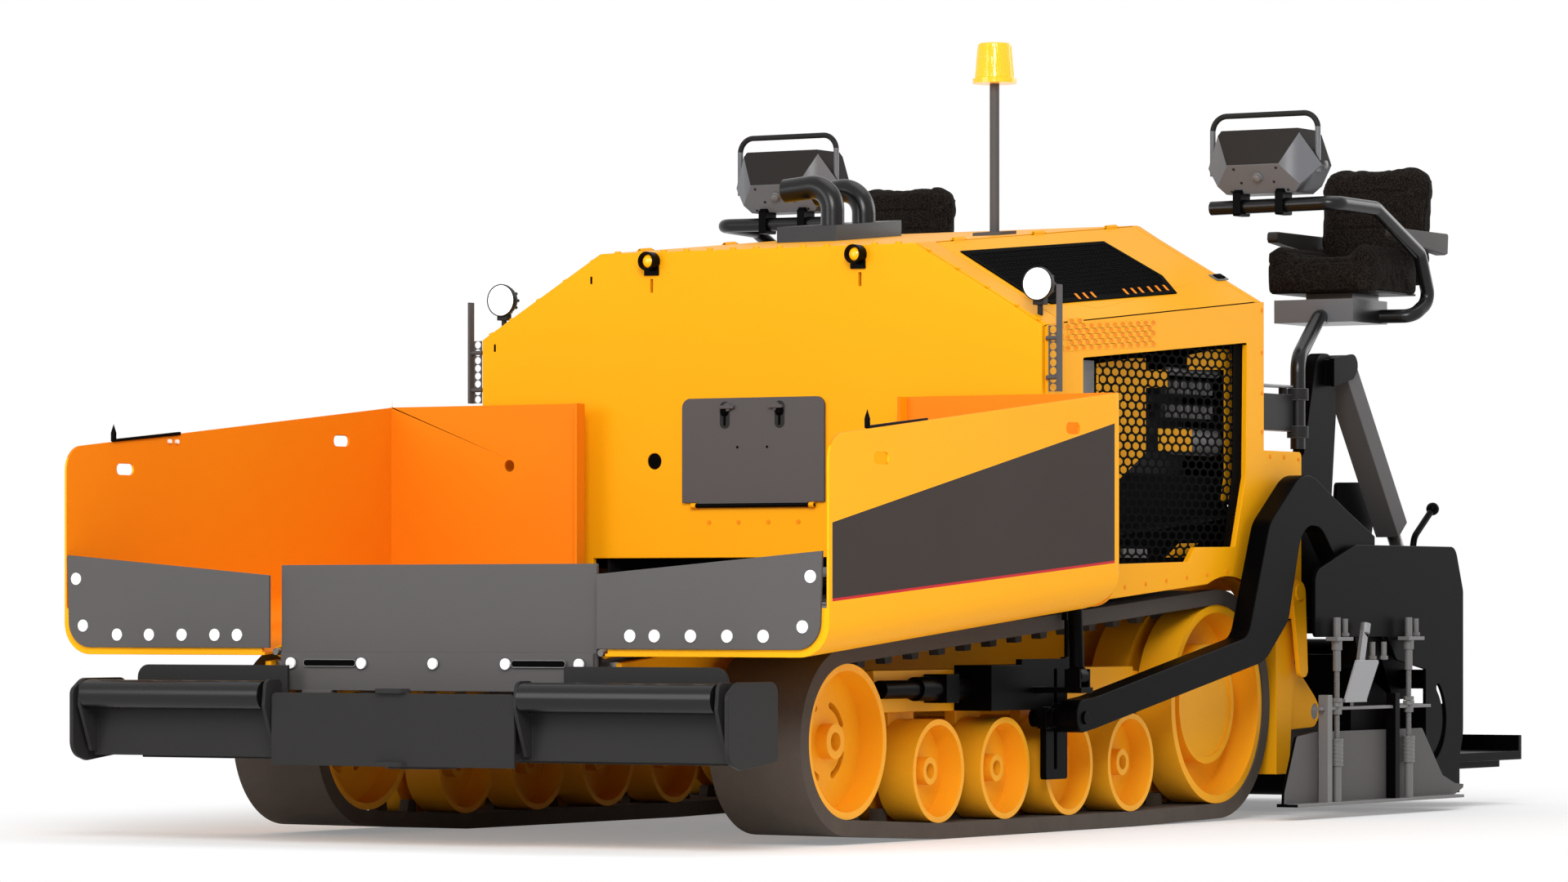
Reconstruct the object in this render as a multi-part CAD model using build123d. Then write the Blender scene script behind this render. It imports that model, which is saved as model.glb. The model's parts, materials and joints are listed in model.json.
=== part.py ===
from build123d import *
import math
import os

# Asphalt paver on rubber tracks, with a folding hopper, a closed engine hood, two swing-out
# operator stations and a towed floating screed with hydraulic extensions.
# Frame: +X forward to the hopper, +Y to the machine's left, +Z up, ground at Z 0. Millimetres.
# Every left-hand piece is modelled at +Y and mirrored about the plane Y 0 for the right.

os.makedirs("parts", exist_ok=True)

# Clearances
seat_gap = 0.3
pin_clearance = 0.3
panel_gap = 6

# Tracks: belt loop round an idler, four bottom rollers and a drive wheel
track_center_y = 984
track_width = 360
belt_thickness = 56
first_roller_x = 65
roller_pitch = 475
roller_count = 4
roller_radius = 180
idler_distance = 625
idler_z = 349
idler_radius = 264
drive_distance = 695
drive_z = 440
drive_radius = 374
hub_radius = 62
hanger_width = 46
hanger_gap = 4
rim_margin = 6
idler_slot_count = 4
idler_slot_circle = 128
idler_slot_sweep = 44
idler_slot_width = 24
lug_count = 40
lug_length = 64
lug_height = 45
lug_side_gap = 8
lug_sink = 3
track_inner_y = track_center_y - track_width / 2
track_outer_y = track_center_y + track_width / 2
roller_xs = [first_roller_x + roller_pitch * number for number in range(roller_count)]
roller_z = roller_radius + belt_thickness
idler_x = roller_xs[-1] + idler_distance
drive_x = roller_xs[0] - drive_distance
track_front_x = idler_x + idler_radius + belt_thickness
track_rear_x = drive_x - drive_radius - belt_thickness

# Main frame
frame_track_gap = 79
frame_plate = 25
frame_bottom_z = 290
frame_nose = 415
frame_half_width = track_inner_y - frame_track_gap
frame_inner_y = frame_half_width - frame_plate
frame_front_x = track_front_x + frame_nose
lashing_hole_radius = 25

# Hood: a prism whose eaves and roof rise together to the rear
hood_front_x = 813
hood_length = 1743
step_length = 322
step_z = 1400
side_margin = 41
roof_half_width = 674
eave_front_z = 1807
slant_height = 307
hood_rise = 158
skirt_gap = 32
panel_thickness = 22
grille_sheet_thickness = 8
grille_hole_length = 84
grille_hole_height = 46
grille_hole_pitch = 112
grille_row_pitch = 60
hood_half_width = track_outer_y + side_margin
roof_front_z = eave_front_z + slant_height
hood_rear_x = hood_front_x - hood_length
step_rear_x = hood_rear_x - step_length
frame_rear_x = step_rear_x + 12
side_inner_y = hood_half_width - panel_thickness

# Lids and their hinges on the roof edge
lid_setback = 153
lid_knuckle_places = [0.08, 0.48, 0.86]
lid_knuckle_length = 80
lid_knuckle_radius = 10
lid_pin_radius = 4
lid_front_x = hood_front_x - lid_setback

# Door in the hood front
door_half_width = 303
door_low_z = 1187
door_height = 383
door_thickness = 14
door_corner = 34
door_pin_out = 12
door_pin_drop = 11
door_pin_radius = 8
door_lap = 12

# Hopper: two wings hinged along the rising floor edge
wing_overhang = 50
wing_gap = 85
wing_outer_y = 1550
wing_sheet = 10
wing_bend_radius = 110
wing_wall_height = 722
wing_wall_slope = 0.098
floor_front_z = 639
floor_slope = 0.083
hinge_inset = 65
hinge_pin_radius = 12
hinge_knuckle_radius = 22
knuckle_length = 150
knuckle_gap = 10
gusset_inset = 34
flap_thickness = 12
flap_inner_height = 273
flap_outer_height = 346
apron_margin = 20
apron_height = 427
apron_bottom_z = 520
wing_front_x = frame_front_x + wing_overhang
wing_rear_x = hood_front_x + wing_gap
hinge_y = frame_half_width - hinge_inset
gusset_inner_y = hinge_y + gusset_inset
apron_half_width = hinge_y - apron_margin

# Slat conveyors on the hopper floor
conveyor_inset = 90
conveyor_drop = 40
slat_height = 25
slat_width = 40
slat_pitch = 150
chain_inner_y = 45
chain_bar_width = 36
chain_end_radius = 70
chain_bar_height = 14
chain_gap = 0.5
pan_thickness = 12
conveyor_front_x = frame_front_x - conveyor_inset
conveyor_rear_x = frame_rear_x + conveyor_inset + 20
chain_outer_y = frame_half_width - 115

# Engine deck over the conveyor tunnel
deck_rise = 200
deck_thickness = 12

# Bumper, push bar and rollers
bumper_top_z = 500
bumper_depth = 50
bar_pivot_offset = 140
bar_plate_offset = 58
bar_plate = 20
bar_low_z = 296
bar_high_z = 474
bar_half_width = 1290
pivot_pin_radius = 22
push_roller_offset = 140
push_roller_z = 505
push_roller_radius = 50
push_roller_inner_y = 522
push_bracket = 14
push_axle_radius = 13.9
push_axle_reach = 40
bar_pivot_x = frame_front_x + bar_pivot_offset
push_roller_x = bar_pivot_x + push_roller_offset

# Tow arms
tow_pin_x = 730
tow_pin_z = 410
tow_pin_radius = 22
arm_side_gap = 42
arm_thickness = 78
arm_inner_y = hood_half_width + arm_side_gap
arm_outer_y = arm_inner_y + arm_thickness

# Augers
auger_gap = 20
auger_z = 400
auger_radius = 178
auger_shaft_radius = 45
auger_journal_radius = 30
auger_inner_y = 62
auger_outer_y = 1128
auger_pitch = 300
auger_x = step_rear_x - auger_gap - auger_radius

# Screed and its extensions
screed_gap = 27
screed_depth = 385
screed_side_gap = 27
screed_bottom_z = 65
screed_height = 285
side_frame_thickness = 18
extension_gap = 10
extension_depth = 350
extension_height = 355
extension_inner_y = 12
end_plate_gap = 18
end_plate_thickness = 14
slide_tube_radius = 38
slide_tube_offset = 80
slide_tube_zs = [520, 640]
slide_clearance = 1
walkway_length = 740
screed_half_width = arm_inner_y - screed_side_gap
screed_front_x = auger_x - auger_radius - screed_gap
screed_rear_x = screed_front_x - screed_depth
screed_top_z = screed_bottom_z + screed_height
extension_front_x = screed_rear_x - extension_gap
extension_rear_x = extension_front_x - extension_depth
extension_end_y = arm_outer_y + end_plate_gap
slide_tube_x = extension_front_x - slide_tube_offset

# Lift cylinders of the screed
lift_inset = 73
lift_top_setback = 445
lift_eye_setback = 53
lift_top_z = 1745
lift_eye_z = 754
lift_cover_length = 797
lift_cover_width = 100
lift_rod_radius = 28
lift_pin_radius = 20
lift_y = screed_half_width - lift_inset
lift_top_x = step_rear_x - lift_top_setback
lift_eye_x = extension_rear_x - lift_eye_setback

# Operator stations
post_setback = 8
post_y = 1185
post_radius = 29
station_y = 1070
seat_base_z = 2034
post_x = step_rear_x - post_setback
console_x = post_x + 10


def corner(previous, here, following, radius):
    """Start, middle and end of the arc that rounds one corner of an outline."""
    back = Vector(previous[0] - here[0], previous[1] - here[1]).normalized()
    ahead = Vector(following[0] - here[0], following[1] - here[1]).normalized()
    half_angle = math.radians(back.get_angle(ahead)) / 2
    reach = radius / math.tan(half_angle)
    middle = (back + ahead).normalized() * (radius / math.sin(half_angle) - radius)
    point = Vector(here[0], here[1])
    return point + back * reach, point + middle, point + ahead * reach


def outline(points):
    """A flat face from corners given as (a, b) or (a, b, corner radius)."""
    corners = []
    for index, point in enumerate(points):
        if len(point) == 3 and point[2] > 0:
            following = points[(index + 1) % len(points)]
            corners.append(corner(points[index - 1], point, following, point[2]))
        else:
            place = Vector(point[0], point[1])
            corners.append((place, None, place))
    edges = []
    for index, (start, middle, end) in enumerate(corners):
        if middle is not None:
            edges.append(ThreePointArc(start, middle, end))
        next_start = corners[(index + 1) % len(corners)][0]
        if (next_start - end).length > 0.001:
            edges.append(Line(end, next_start))
    return make_face(edges)


def plate_xz(points, y_low, y_high):
    """An outline in X and Z, thick along Y."""
    face = Pos(0, y_low, 0) * (Plane.XZ * outline(points))
    return extrude(face, amount=y_high - y_low, dir=(0, 1, 0))


def plate_yz(points, x_low, x_high):
    """An outline in Y and Z, thick along X."""
    face = Pos(x_low, 0, 0) * (Plane.YZ * outline(points))
    return extrude(face, amount=x_high - x_low, dir=(1, 0, 0))


def plate_xy(points, z_low, z_high):
    """An outline in X and Y, thick along Z."""
    face = Pos(0, 0, z_low) * outline(points)
    return extrude(face, amount=z_high - z_low, dir=(0, 0, 1))


def block(x0, x1, y0, y1, z0, z1):
    """A box between two opposite corners, in either order."""
    size = Box(abs(x1 - x0), abs(y1 - y0), abs(z1 - z0))
    return Pos((x0 + x1) / 2, (y0 + y1) / 2, (z0 + z1) / 2) * size


def rod(start, end, radius):
    """A round bar between two points."""
    start = Vector(*start)
    along = Vector(*end) - start
    return Part() + Solid.make_cylinder(radius, along.length, Plane(origin=start, z_dir=along))


def bent_tube(points, bend_radius, radius):
    """A round tube along straight runs joined by arcs."""
    path = FilletPolyline(*points, radius=bend_radius)
    section = Plane(origin=path @ 0, z_dir=path % 0) * Circle(radius)
    return sweep(section, path=path)


def wheel(profile, x, y, z):
    """A wheel turned about its axle along Y, from (radius, offset along Y) corners."""
    face = outline(profile)
    turned = revolve(face, axis=Axis.Y, revolution_arc=360)
    return Pos(x, y, z) * turned


def right_hand(shape):
    return mirror(shape, about=Plane.XZ)


def keep(name, *shapes):
    """Write one node, as its solids."""
    solids = []
    for shape in shapes:
        solids.extend(shape.solids())
    body = solids[0] if len(solids) == 1 else Compound(children=solids)
    export_step(body, f"parts/{name}.step")


def pair(name, shape):
    """One node for each side."""
    keep(f"{name}_left", shape)
    keep(f"{name}_right", right_hand(shape))


hood_slope = hood_rise / hood_length
track_rise = (drive_z + drive_radius - idler_z - idler_radius) / (idler_x - drive_x)


def floor_z(x):
    """Underside of the wing floor and rails, which rise to the rear."""
    return floor_front_z + floor_slope * (wing_front_x - x)


def skirt_z(x):
    """Lower edge of the hood sides, which follows the belt's upper run."""
    return idler_z + idler_radius + belt_thickness + track_rise * (idler_x - x) + skirt_gap


def wing_top_z(x):
    return floor_front_z + wing_wall_height + wing_wall_slope * (wing_front_x - x)


def hood_lift(x):
    """How far the hood has risen at a station along it."""
    return hood_slope * (hood_front_x - x)


def hood_bar(section, x_start, x_end):
    """A section in Y and Z, stated at the hood front, run along the rising hood."""
    points = [(p[0], p[1] + hood_lift(x_start)) + tuple(p[2:]) for p in section]
    face = Pos(x_start, 0, 0) * (Plane.YZ * outline(points))
    length = (x_start - x_end) * math.hypot(1, hood_slope)
    return extrude(face, amount=length, dir=(-1, 0, hood_slope))


def floor_bar(section, x_start, x_end):
    """A section in Y and height over the floor line, run along the rising hopper floor."""
    points = [(p[0], p[1] + floor_z(x_start)) + tuple(p[2:]) for p in section]
    face = Pos(x_start, 0, 0) * (Plane.YZ * outline(points))
    length = (x_start - x_end) * math.hypot(1, floor_slope)
    return extrude(face, amount=length, dir=(-1, 0, floor_slope))


def hull_loop(circles):
    """The closed outline of a belt round circles (x, z, radius) listed clockwise from the top."""
    tangents = []
    for index, (x0, z0, r0) in enumerate(circles):
        x1, z1, r1 = circles[(index + 1) % len(circles)]
        along = math.atan2(z1 - z0, x1 - x0)
        distance = math.hypot(x1 - x0, z1 - z0)
        normal = along + math.acos((r0 - r1) / distance)
        cosine = math.cos(normal)
        sine = math.sin(normal)
        tangents.append(((x0 + r0 * cosine, z0 + r0 * sine), (x1 + r1 * cosine, z1 + r1 * sine)))
    edges = []
    for index, (start, end) in enumerate(tangents):
        edges.append(Line(start, end))
        x, z, radius = circles[(index + 1) % len(circles)]
        leaving = tangents[(index + 1) % len(tangents)][0]
        from_angle = math.atan2(end[1] - z, end[0] - x)
        to_angle = math.atan2(leaving[1] - z, leaving[0] - x)
        if to_angle > from_angle:
            to_angle -= 2 * math.pi
        if from_angle - to_angle > 1e-6:
            half = (from_angle + to_angle) / 2
            middle = (x + radius * math.cos(half), z + radius * math.sin(half))
            edges.append(ThreePointArc(end, middle, leaving))
    return make_face(edges)


# Tracks and their wheels
inner_circles = [
    (drive_x, drive_z, drive_radius),
    (idler_x, idler_z, idler_radius),
    (roller_xs[-1], roller_z, roller_radius),
    (roller_xs[0], roller_z, roller_radius),
]
outer_circles = [(x, z, radius + belt_thickness) for x, z, radius in inner_circles]
belt_face = hull_loop(outer_circles) - hull_loop(inner_circles)
belt = extrude(Pos(0, track_inner_y, 0) * (Plane.XZ * belt_face), amount=track_width, dir=(0, 1, 0))
rim_half = track_width / 2 - rim_margin
rim_inner = hanger_width / 2 + hanger_gap
web_half = 12
lug_half_width = rim_inner - lug_side_gap
inner_line = hull_loop(inner_circles).face().outer_wire()
loop_middle = Vector((drive_x + idler_x) / 2, (drive_z + roller_z) / 2)
lugs = []
for number in range(lug_count):
    distance = inner_line.length * number / lug_count
    place = inner_line.position_at(distance, position_mode=PositionMode.LENGTH)
    along = inner_line.tangent_at(distance, position_mode=PositionMode.LENGTH)
    inwards = Vector(-along.Y, along.X)
    if inwards.dot(loop_middle - place) < 0:
        inwards = inwards * -1
    foot = place - inwards * lug_sink
    crown = place + inwards * lug_height
    corners = [foot - along * (lug_length / 2), foot + along * (lug_length / 2),
               crown + along * (lug_length / 3),
               crown - along * (lug_length / 3)]
    lugs.append(plate_xz([(point.X, point.Y) for point in corners], track_center_y - lug_half_width,
                         track_center_y + lug_half_width))
belt = belt + lugs
keep("tracks", belt, right_hand(belt))


def dished_wheel(radius, rim, web_offset, hub, hub_face, sleeve, bore, bore_depth):
    """Two dished discs with flat rims on one bored hub sleeve, open between them for the hanger."""
    seat = radius - seat_gap
    bore_end = hub_face - bore_depth
    return [
        (0, -bore_end),
        (bore, -bore_end),
        (bore, -hub_face),
        (hub, -hub_face),
        (hub, -web_offset - web_half),
        (seat - rim, -web_offset - web_half),
        (seat - rim, -rim_half),
        (seat, -rim_half),
        (seat, -rim_inner),
        (sleeve, -rim_inner),
        (sleeve, rim_inner),
        (seat, rim_inner),
        (seat, rim_half),
        (seat - rim, rim_half),
        (seat - rim, web_offset + web_half),
        (hub, web_offset + web_half),
        (hub, hub_face),
        (bore, hub_face),
        (bore, bore_end),
        (0, bore_end),
    ]


roller_profile = dished_wheel(roller_radius, 20, 78, 48, 140, hub_radius, 27, 60)
idler_profile = dished_wheel(idler_radius, 24, 70, 60, 128, hub_radius, 32, 60)
drive_profile = dished_wheel(drive_radius, 30, 40, 225, 130, hub_radius, 200, 8)
roller_set = [wheel(roller_profile, x, track_center_y, roller_z) for x in roller_xs]
idler = wheel(idler_profile, idler_x, track_center_y, idler_z)
for number in range(idler_slot_count):
    start_angle = 360 / idler_slot_count * number + 20
    slot_line = CenterArc((idler_x, idler_z), idler_slot_circle, start_angle, idler_slot_sweep)
    slot_face = Pos(0, track_center_y - rim_half, 0) * (Plane.XZ * SlotArc(slot_line, idler_slot_width))
    idler -= extrude(slot_face, amount=2 * rim_half, dir=(0, 1, 0))
drive_wheel = wheel(drive_profile, drive_x, track_center_y, drive_z)
wheel_set = roller_set + [idler, drive_wheel]
keep("track_wheels", *wheel_set, *[right_hand(shape) for shape in wheel_set])

# Track frames: a box beam inside each loop, with a hanger on every hub sleeve
beam_low_z = 440
beam_high_z = 585
beam_half = 70
beam_rear_x = drive_x + drive_radius + 106
beam_front_x = idler_x - idler_radius - 90
beam = block(beam_rear_x, beam_front_x, track_center_y - beam_half, track_center_y + beam_half, beam_low_z,
             beam_high_z)
hanger_reach = hub_radius + 16
hanger_y = (track_center_y - hanger_width / 2, track_center_y + hanger_width / 2)
sleeve_bore = hub_radius + seat_gap
for x in roller_xs:
    hanger = plate_xz(
        [(x - hanger_reach - 12, beam_low_z + 20), (x - hanger_reach, roller_z - hanger_reach, 70),
         (x + hanger_reach, roller_z - hanger_reach, 70), (x + hanger_reach + 12, beam_low_z + 20)],
        *hanger_y,
    )
    beam += hanger
front_yoke = plate_xz(
    [(beam_front_x - 60, 560), (beam_front_x - 60, 450), (idler_x, idler_z - 80, 60),
     (idler_x + 90, idler_z, 60), (idler_x, idler_z + 90, 60)],
    *hanger_y,
)
rear_yoke = plate_xz(
    [(beam_rear_x + 50, 580), (drive_x, drive_z + 100, 70), (drive_x - 110, drive_z, 70),
     (drive_x, drive_z - 100, 70), (beam_rear_x + 50, 450)],
    *hanger_y,
)
beam += front_yoke
beam += rear_yoke
for x, z in [(x, roller_z) for x in roller_xs] + [(idler_x, idler_z), (drive_x, drive_z)]:
    beam -= rod((x, track_inner_y, z), (x, track_outer_y, z), sleeve_bore)
for x in (roller_xs[0] + 85, tow_pin_x + 50, roller_xs[-1] - 70):
    beam += block(x, x + 120, frame_half_width, track_center_y - beam_half, 470, 560)
keep("track_frames", beam, right_hand(beam))

# Main frame: two side plates tied by cross members, with the conveyor tunnel through it
rail_drop = 25
side_plate = plate_xz(
    [
        (frame_front_x, frame_bottom_z),
        (frame_front_x, floor_z(frame_front_x) - rail_drop),
        (frame_rear_x, floor_z(frame_rear_x) - rail_drop),
        (frame_rear_x, frame_bottom_z + 130, 60),
        (frame_rear_x + 240, frame_bottom_z + 10, 200),
    ],
    frame_half_width - frame_plate,
    frame_half_width,
)
lashing_x = frame_front_x - 150
lashing_z = frame_bottom_z + 70
side_plate -= rod((lashing_x, frame_inner_y - 5, lashing_z), (lashing_x, frame_half_width + 5, lashing_z),
                  lashing_hole_radius)
frame_solid = side_plate + right_hand(side_plate)
cross_members = [
    # x low, length, z low, height
    (frame_front_x - 250, 225, frame_bottom_z + 10, 30),
    (1500, 150, frame_bottom_z + 10, 120),
    (300, 150, frame_bottom_z + 10, 120),
    (frame_rear_x + 340, 150, frame_bottom_z + 30, 120),
]
for x_low, length, z_low, height in cross_members:
    frame_solid += block(x_low, x_low + length, -frame_inner_y, frame_inner_y, z_low, z_low + height)
frame_solid += block(frame_front_x - frame_plate, frame_front_x, -frame_inner_y, frame_inner_y,
                     frame_bottom_z, bumper_top_z + 5)
rear_plate_top = floor_z(frame_rear_x) - 260
frame_solid += block(frame_rear_x, frame_rear_x + frame_plate, -frame_inner_y, frame_inner_y,
                     frame_bottom_z + 150, rear_plate_top)
keep("main_frame", frame_solid)

# Hopper floor: the pan that the slats drag over, its edge rails and the wing hinge pins
pan_half = chain_outer_y + 10
pan = floor_bar([(-pan_half, -conveyor_drop - pan_thickness), (pan_half, -conveyor_drop - pan_thickness),
                 (pan_half, -conveyor_drop), (-pan_half, -conveyor_drop)],
                conveyor_front_x - 20, conveyor_rear_x + 20)
rail_seat_y = frame_inner_y - seat_gap
rail_inner_y = chain_outer_y + 2
rail_section = [
    (rail_seat_y, -conveyor_drop - 40), (rail_seat_y, -rail_drop),
    (rail_inner_y + 18, -rail_drop), (rail_inner_y + 18, 22), (rail_inner_y, 22),
    (rail_inner_y, -conveyor_drop - 40),
]
edge_rail = floor_bar(rail_section, frame_front_x - 30, frame_rear_x + 30)
divider_half = chain_inner_y - 11
divider = floor_bar([(-divider_half, -conveyor_drop), (divider_half, -conveyor_drop), (divider_half, 0),
                     (0, 28),
                     (-divider_half, 0)],
                    conveyor_front_x - 20, conveyor_rear_x + 20)


def hinge_bar(radius, x_start, x_end):
    """A round bar on the wing hinge line."""
    start = (x_start, hinge_y, floor_z(x_start) + wing_sheet)
    end = (x_end, hinge_y, floor_z(x_end) + wing_sheet)
    return rod(start, end, radius)


wing_knuckle_starts = [wing_front_x - 50, wing_front_x - 600, wing_front_x - 1200, wing_rear_x + 202]
frame_knuckle_starts = [x - knuckle_length - knuckle_gap for x in wing_knuckle_starts[:3]]
frame_knuckle_starts.append(wing_knuckle_starts[3] + 160)
hinge_pin = hinge_bar(hinge_pin_radius, wing_front_x - 20, wing_rear_x + 30)
pan_rails = edge_rail + hinge_pin
for x in frame_knuckle_starts:
    foot = floor_bar([(rail_inner_y + 8, -20), (hinge_y, -12), (hinge_y, 12), (rail_inner_y + 8, 12)], x,
                     x - knuckle_length + 20)
    pan_rails += hinge_bar(hinge_knuckle_radius, x, x - knuckle_length + 20) + foot
floor_solid = pan + divider + pan_rails + right_hand(pan_rails)
keep("hopper_floor", floor_solid)

# Slat conveyors: two strands of chain round the pan with a slat on every third link
def loop_face(grow):
    top = -conveyor_drop + chain_gap + chain_bar_height / 2
    low = top - 2 * chain_end_radius
    reach = chain_end_radius + grow
    front = (conveyor_front_x, floor_z(conveyor_front_x) + (top + low) / 2)
    rear = (conveyor_rear_x, floor_z(conveyor_rear_x) + (top + low) / 2)
    return hull_loop([(rear[0], rear[1], reach), (front[0], front[1], reach)])


strand_face = loop_face(chain_bar_height / 2) - loop_face(-chain_bar_height / 2)
strands = []
for y in (chain_inner_y, chain_outer_y - chain_bar_width):
    face = Pos(0, y, 0) * (Plane.XZ * strand_face)
    strands.append(extrude(face, amount=chain_bar_width, dir=(0, 1, 0)))
conveyor = strands[0] + strands[1]
slat_start = 100
slat_count = int((conveyor_front_x - conveyor_rear_x - slat_start - 100) / slat_pitch)
slat_low = -conveyor_drop + 4
slat_section = [(chain_inner_y, slat_low), (chain_outer_y, slat_low), (chain_outer_y, slat_low + slat_height),
                (chain_inner_y, slat_low + slat_height)]
slats = []
for number in range(slat_count):
    x = conveyor_front_x - slat_start - number * slat_pitch
    slats.append(floor_bar(slat_section, x, x - slat_width))
conveyor = conveyor + slats
keep("slat_conveyors", conveyor, right_hand(conveyor))

# Bumper frame: cross beam, upper plates with a rounded corner and an end strap each side
bumper_low_z = frame_bottom_z + 10
bumper_front_x = frame_front_x + bumper_depth
beam_half_width = 1180
strap_y = bar_half_width + 22
strap_thickness = 16
corner_half = beam_half_width + 15
bumper = block(frame_front_x, bumper_front_x, -beam_half_width, beam_half_width, bumper_low_z, bumper_top_z)
bumper += block(bumper_front_x, bumper_front_x + 22, -corner_half, corner_half, bumper_low_z - 15,
                bumper_top_z - 30)
corner_plate = plate_yz([(560, bumper_low_z), (corner_half, bumper_low_z),
                         (corner_half, bumper_top_z + 106, 45),
                         (560, bumper_top_z + 106)], bumper_front_x + 35, bumper_front_x + 50)
strap_front_x = push_roller_x + 30
end_strap = plate_xz(
    [(frame_front_x, bumper_low_z), (frame_front_x, bumper_top_z + 60, 40),
     (strap_front_x - 60, bumper_top_z + 60, 60),
     (strap_front_x, bumper_top_z + 20, 30), (strap_front_x, bumper_low_z, 60),
     (strap_front_x - 80, bumper_low_z - 25, 30)],
    strap_y, strap_y + strap_thickness,
)
end_web = block(bumper_front_x + 22, bumper_front_x + 50, beam_half_width, strap_y, bumper_low_z + 10,
                bumper_top_z + 40)
fill = block(bumper_front_x, bumper_front_x + 35, 560, corner_half, bumper_low_z, bumper_top_z - 30)
front_side = corner_plate + end_strap + end_web + fill
bumper = bumper + front_side + right_hand(front_side)
tongue_radius = 60
tongue_thickness = 22
tongue_gap = 12
tongue_front_x = bar_pivot_x + tongue_radius
tongue_low_z = bar_low_z - tongue_gap - tongue_thickness
tongue_high_z = bar_high_z + tongue_gap
for z_low in (tongue_low_z, tongue_high_z):
    tongue = plate_xy([(bumper_front_x, -110), (tongue_front_x, -110, 55), (tongue_front_x, 110, 55),
                       (bumper_front_x, 110)],
                      z_low, z_low + tongue_thickness)
    bumper += tongue
bumper += rod((bar_pivot_x, 0, tongue_low_z), (bar_pivot_x, 0, tongue_high_z + tongue_thickness),
              pivot_pin_radius)
keep("bumper_frame", bumper)

# Apron: the plate that closes the hopper front between the wings, on two feet over the beam
apron_back_x = frame_front_x + 8
apron_plate = 14
apron_top_z = apron_bottom_z + apron_height
apron_foot_z = bumper_top_z + seat_gap
apron = block(apron_back_x, apron_back_x + apron_plate, -apron_half_width, apron_half_width, apron_bottom_z,
              apron_top_z)
apron += block(apron_back_x + apron_plate, apron_back_x + 2 * apron_plate, -apron_half_width + 6,
               apron_half_width - 6,
               apron_bottom_z, apron_bottom_z + 130)
for y in (-480, 480):
    apron += block(frame_front_x + 1, apron_back_x, y - 60, y + 60, apron_foot_z, apron_bottom_z + 80)
    apron += block(frame_front_x + 1, frame_front_x + 45, y - 60, y + 60, apron_foot_z, apron_bottom_z)
keep("hopper_apron", apron)

# Push bar with its roller brackets, swinging a few degrees about a centre pin
bar_back_x = bar_pivot_x + bar_plate_offset
bar_front_x = bar_back_x + bar_plate
face_plate_x = push_roller_x - 2
face_half = push_roller_inner_y - 32
bar = block(bar_back_x, bar_front_x, -bar_half_width, bar_half_width, bar_low_z, bar_high_z)
bar += block(bar_pivot_x, bar_back_x, -62, 62, bar_low_z, bar_high_z)
bar += rod((bar_pivot_x, 0, bar_low_z), (bar_pivot_x, 0, bar_high_z), tongue_radius - 2)
bar -= rod((bar_pivot_x, 0, bar_low_z - 40), (bar_pivot_x, 0, bar_high_z + 40),
           pivot_pin_radius + pin_clearance)
bar += plate_yz([(-face_half, bar_low_z - 24), (face_half, bar_low_z - 24), (face_half, bar_high_z + 42, 20),
                 (-face_half, bar_high_z + 42, 20)], face_plate_x, face_plate_x + 12)
for z_low, z_high in ((bar_low_z, bar_low_z + 24), (bar_high_z - 34, bar_high_z - 4)):
    bar += block(bar_front_x, face_plate_x, -face_half + 20, face_half - 20, z_low, z_high)
for z_low, z_high in ((bar_low_z - 24, bar_low_z - 8), (bar_high_z + 42, bar_high_z + 58)):
    bar += plate_xy([(face_plate_x, -70), (face_plate_x + 34, -50, 14), (face_plate_x + 34, 50, 14),
                     (face_plate_x, 70)],
                    z_low, z_high)
bracket_outline = [
    (bar_front_x - 4, bar_low_z + 14), (bar_front_x - 4, push_roller_z + 55, 20),
    (push_roller_x + 24, push_roller_z + 55, 30), (push_roller_x + 34, push_roller_z - 35, 20),
    (push_roller_x - 30, bar_low_z + 14),
]
inner_bracket_y = push_roller_inner_y - 22
roller_end_y = bar_half_width - push_bracket - 6
brackets = plate_xz(bracket_outline, inner_bracket_y, inner_bracket_y + push_bracket)
brackets += plate_xz(bracket_outline, bar_half_width - push_bracket, bar_half_width)
axle_runs = [
    # from y, to y
    (inner_bracket_y, push_roller_inner_y + push_axle_reach),
    (roller_end_y - push_axle_reach, bar_half_width),
]
for y_from, y_to in axle_runs:
    brackets += rod((push_roller_x, y_from, push_roller_z), (push_roller_x, y_to, push_roller_z),
                    push_axle_radius)
bar = bar + brackets + right_hand(brackets)
keep("push_bar", bar)
push_roller = rod((push_roller_x, push_roller_inner_y, push_roller_z),
                  (push_roller_x, roller_end_y, push_roller_z),
                  push_roller_radius)
bore_runs = [
    # from y, to y
    (push_roller_inner_y, push_roller_inner_y + push_axle_reach + 5),
    (roller_end_y - push_axle_reach - 5, roller_end_y),
]
for y_from, y_to in bore_runs:
    push_roller -= rod((push_roller_x, y_from, push_roller_z), (push_roller_x, y_to, push_roller_z),
                       push_axle_radius + 0.1)
pair("push_roller", push_roller)

# Hopper wings: one bent sheet with a rear gusset, hung on the hinge pins
side_outline = [
    (wing_front_x, floor_z(wing_front_x)),
    (wing_front_x, wing_top_z(wing_front_x), 90),
    (wing_rear_x, wing_top_z(wing_rear_x), 12),
    (wing_rear_x, floor_z(wing_rear_x), 120),
]
silhouette = plate_xz(side_outline, hinge_y - 60, wing_outer_y + 10)
wall_height = wing_wall_height + 280
wing_inner_y = wing_outer_y - wing_sheet
floor_edge_y = hinge_y + 30
sheet_section = [
    (floor_edge_y, 0), (wing_outer_y, 0, wing_bend_radius), (wing_outer_y, wall_height),
    (wing_inner_y, wall_height),
    (wing_inner_y, wing_sheet, wing_bend_radius - wing_sheet), (floor_edge_y, wing_sheet),
]
sheet = floor_bar(sheet_section, wing_front_x, wing_rear_x)
wing = sheet & silhouette
gusset_low = floor_z(wing_rear_x)
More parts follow.
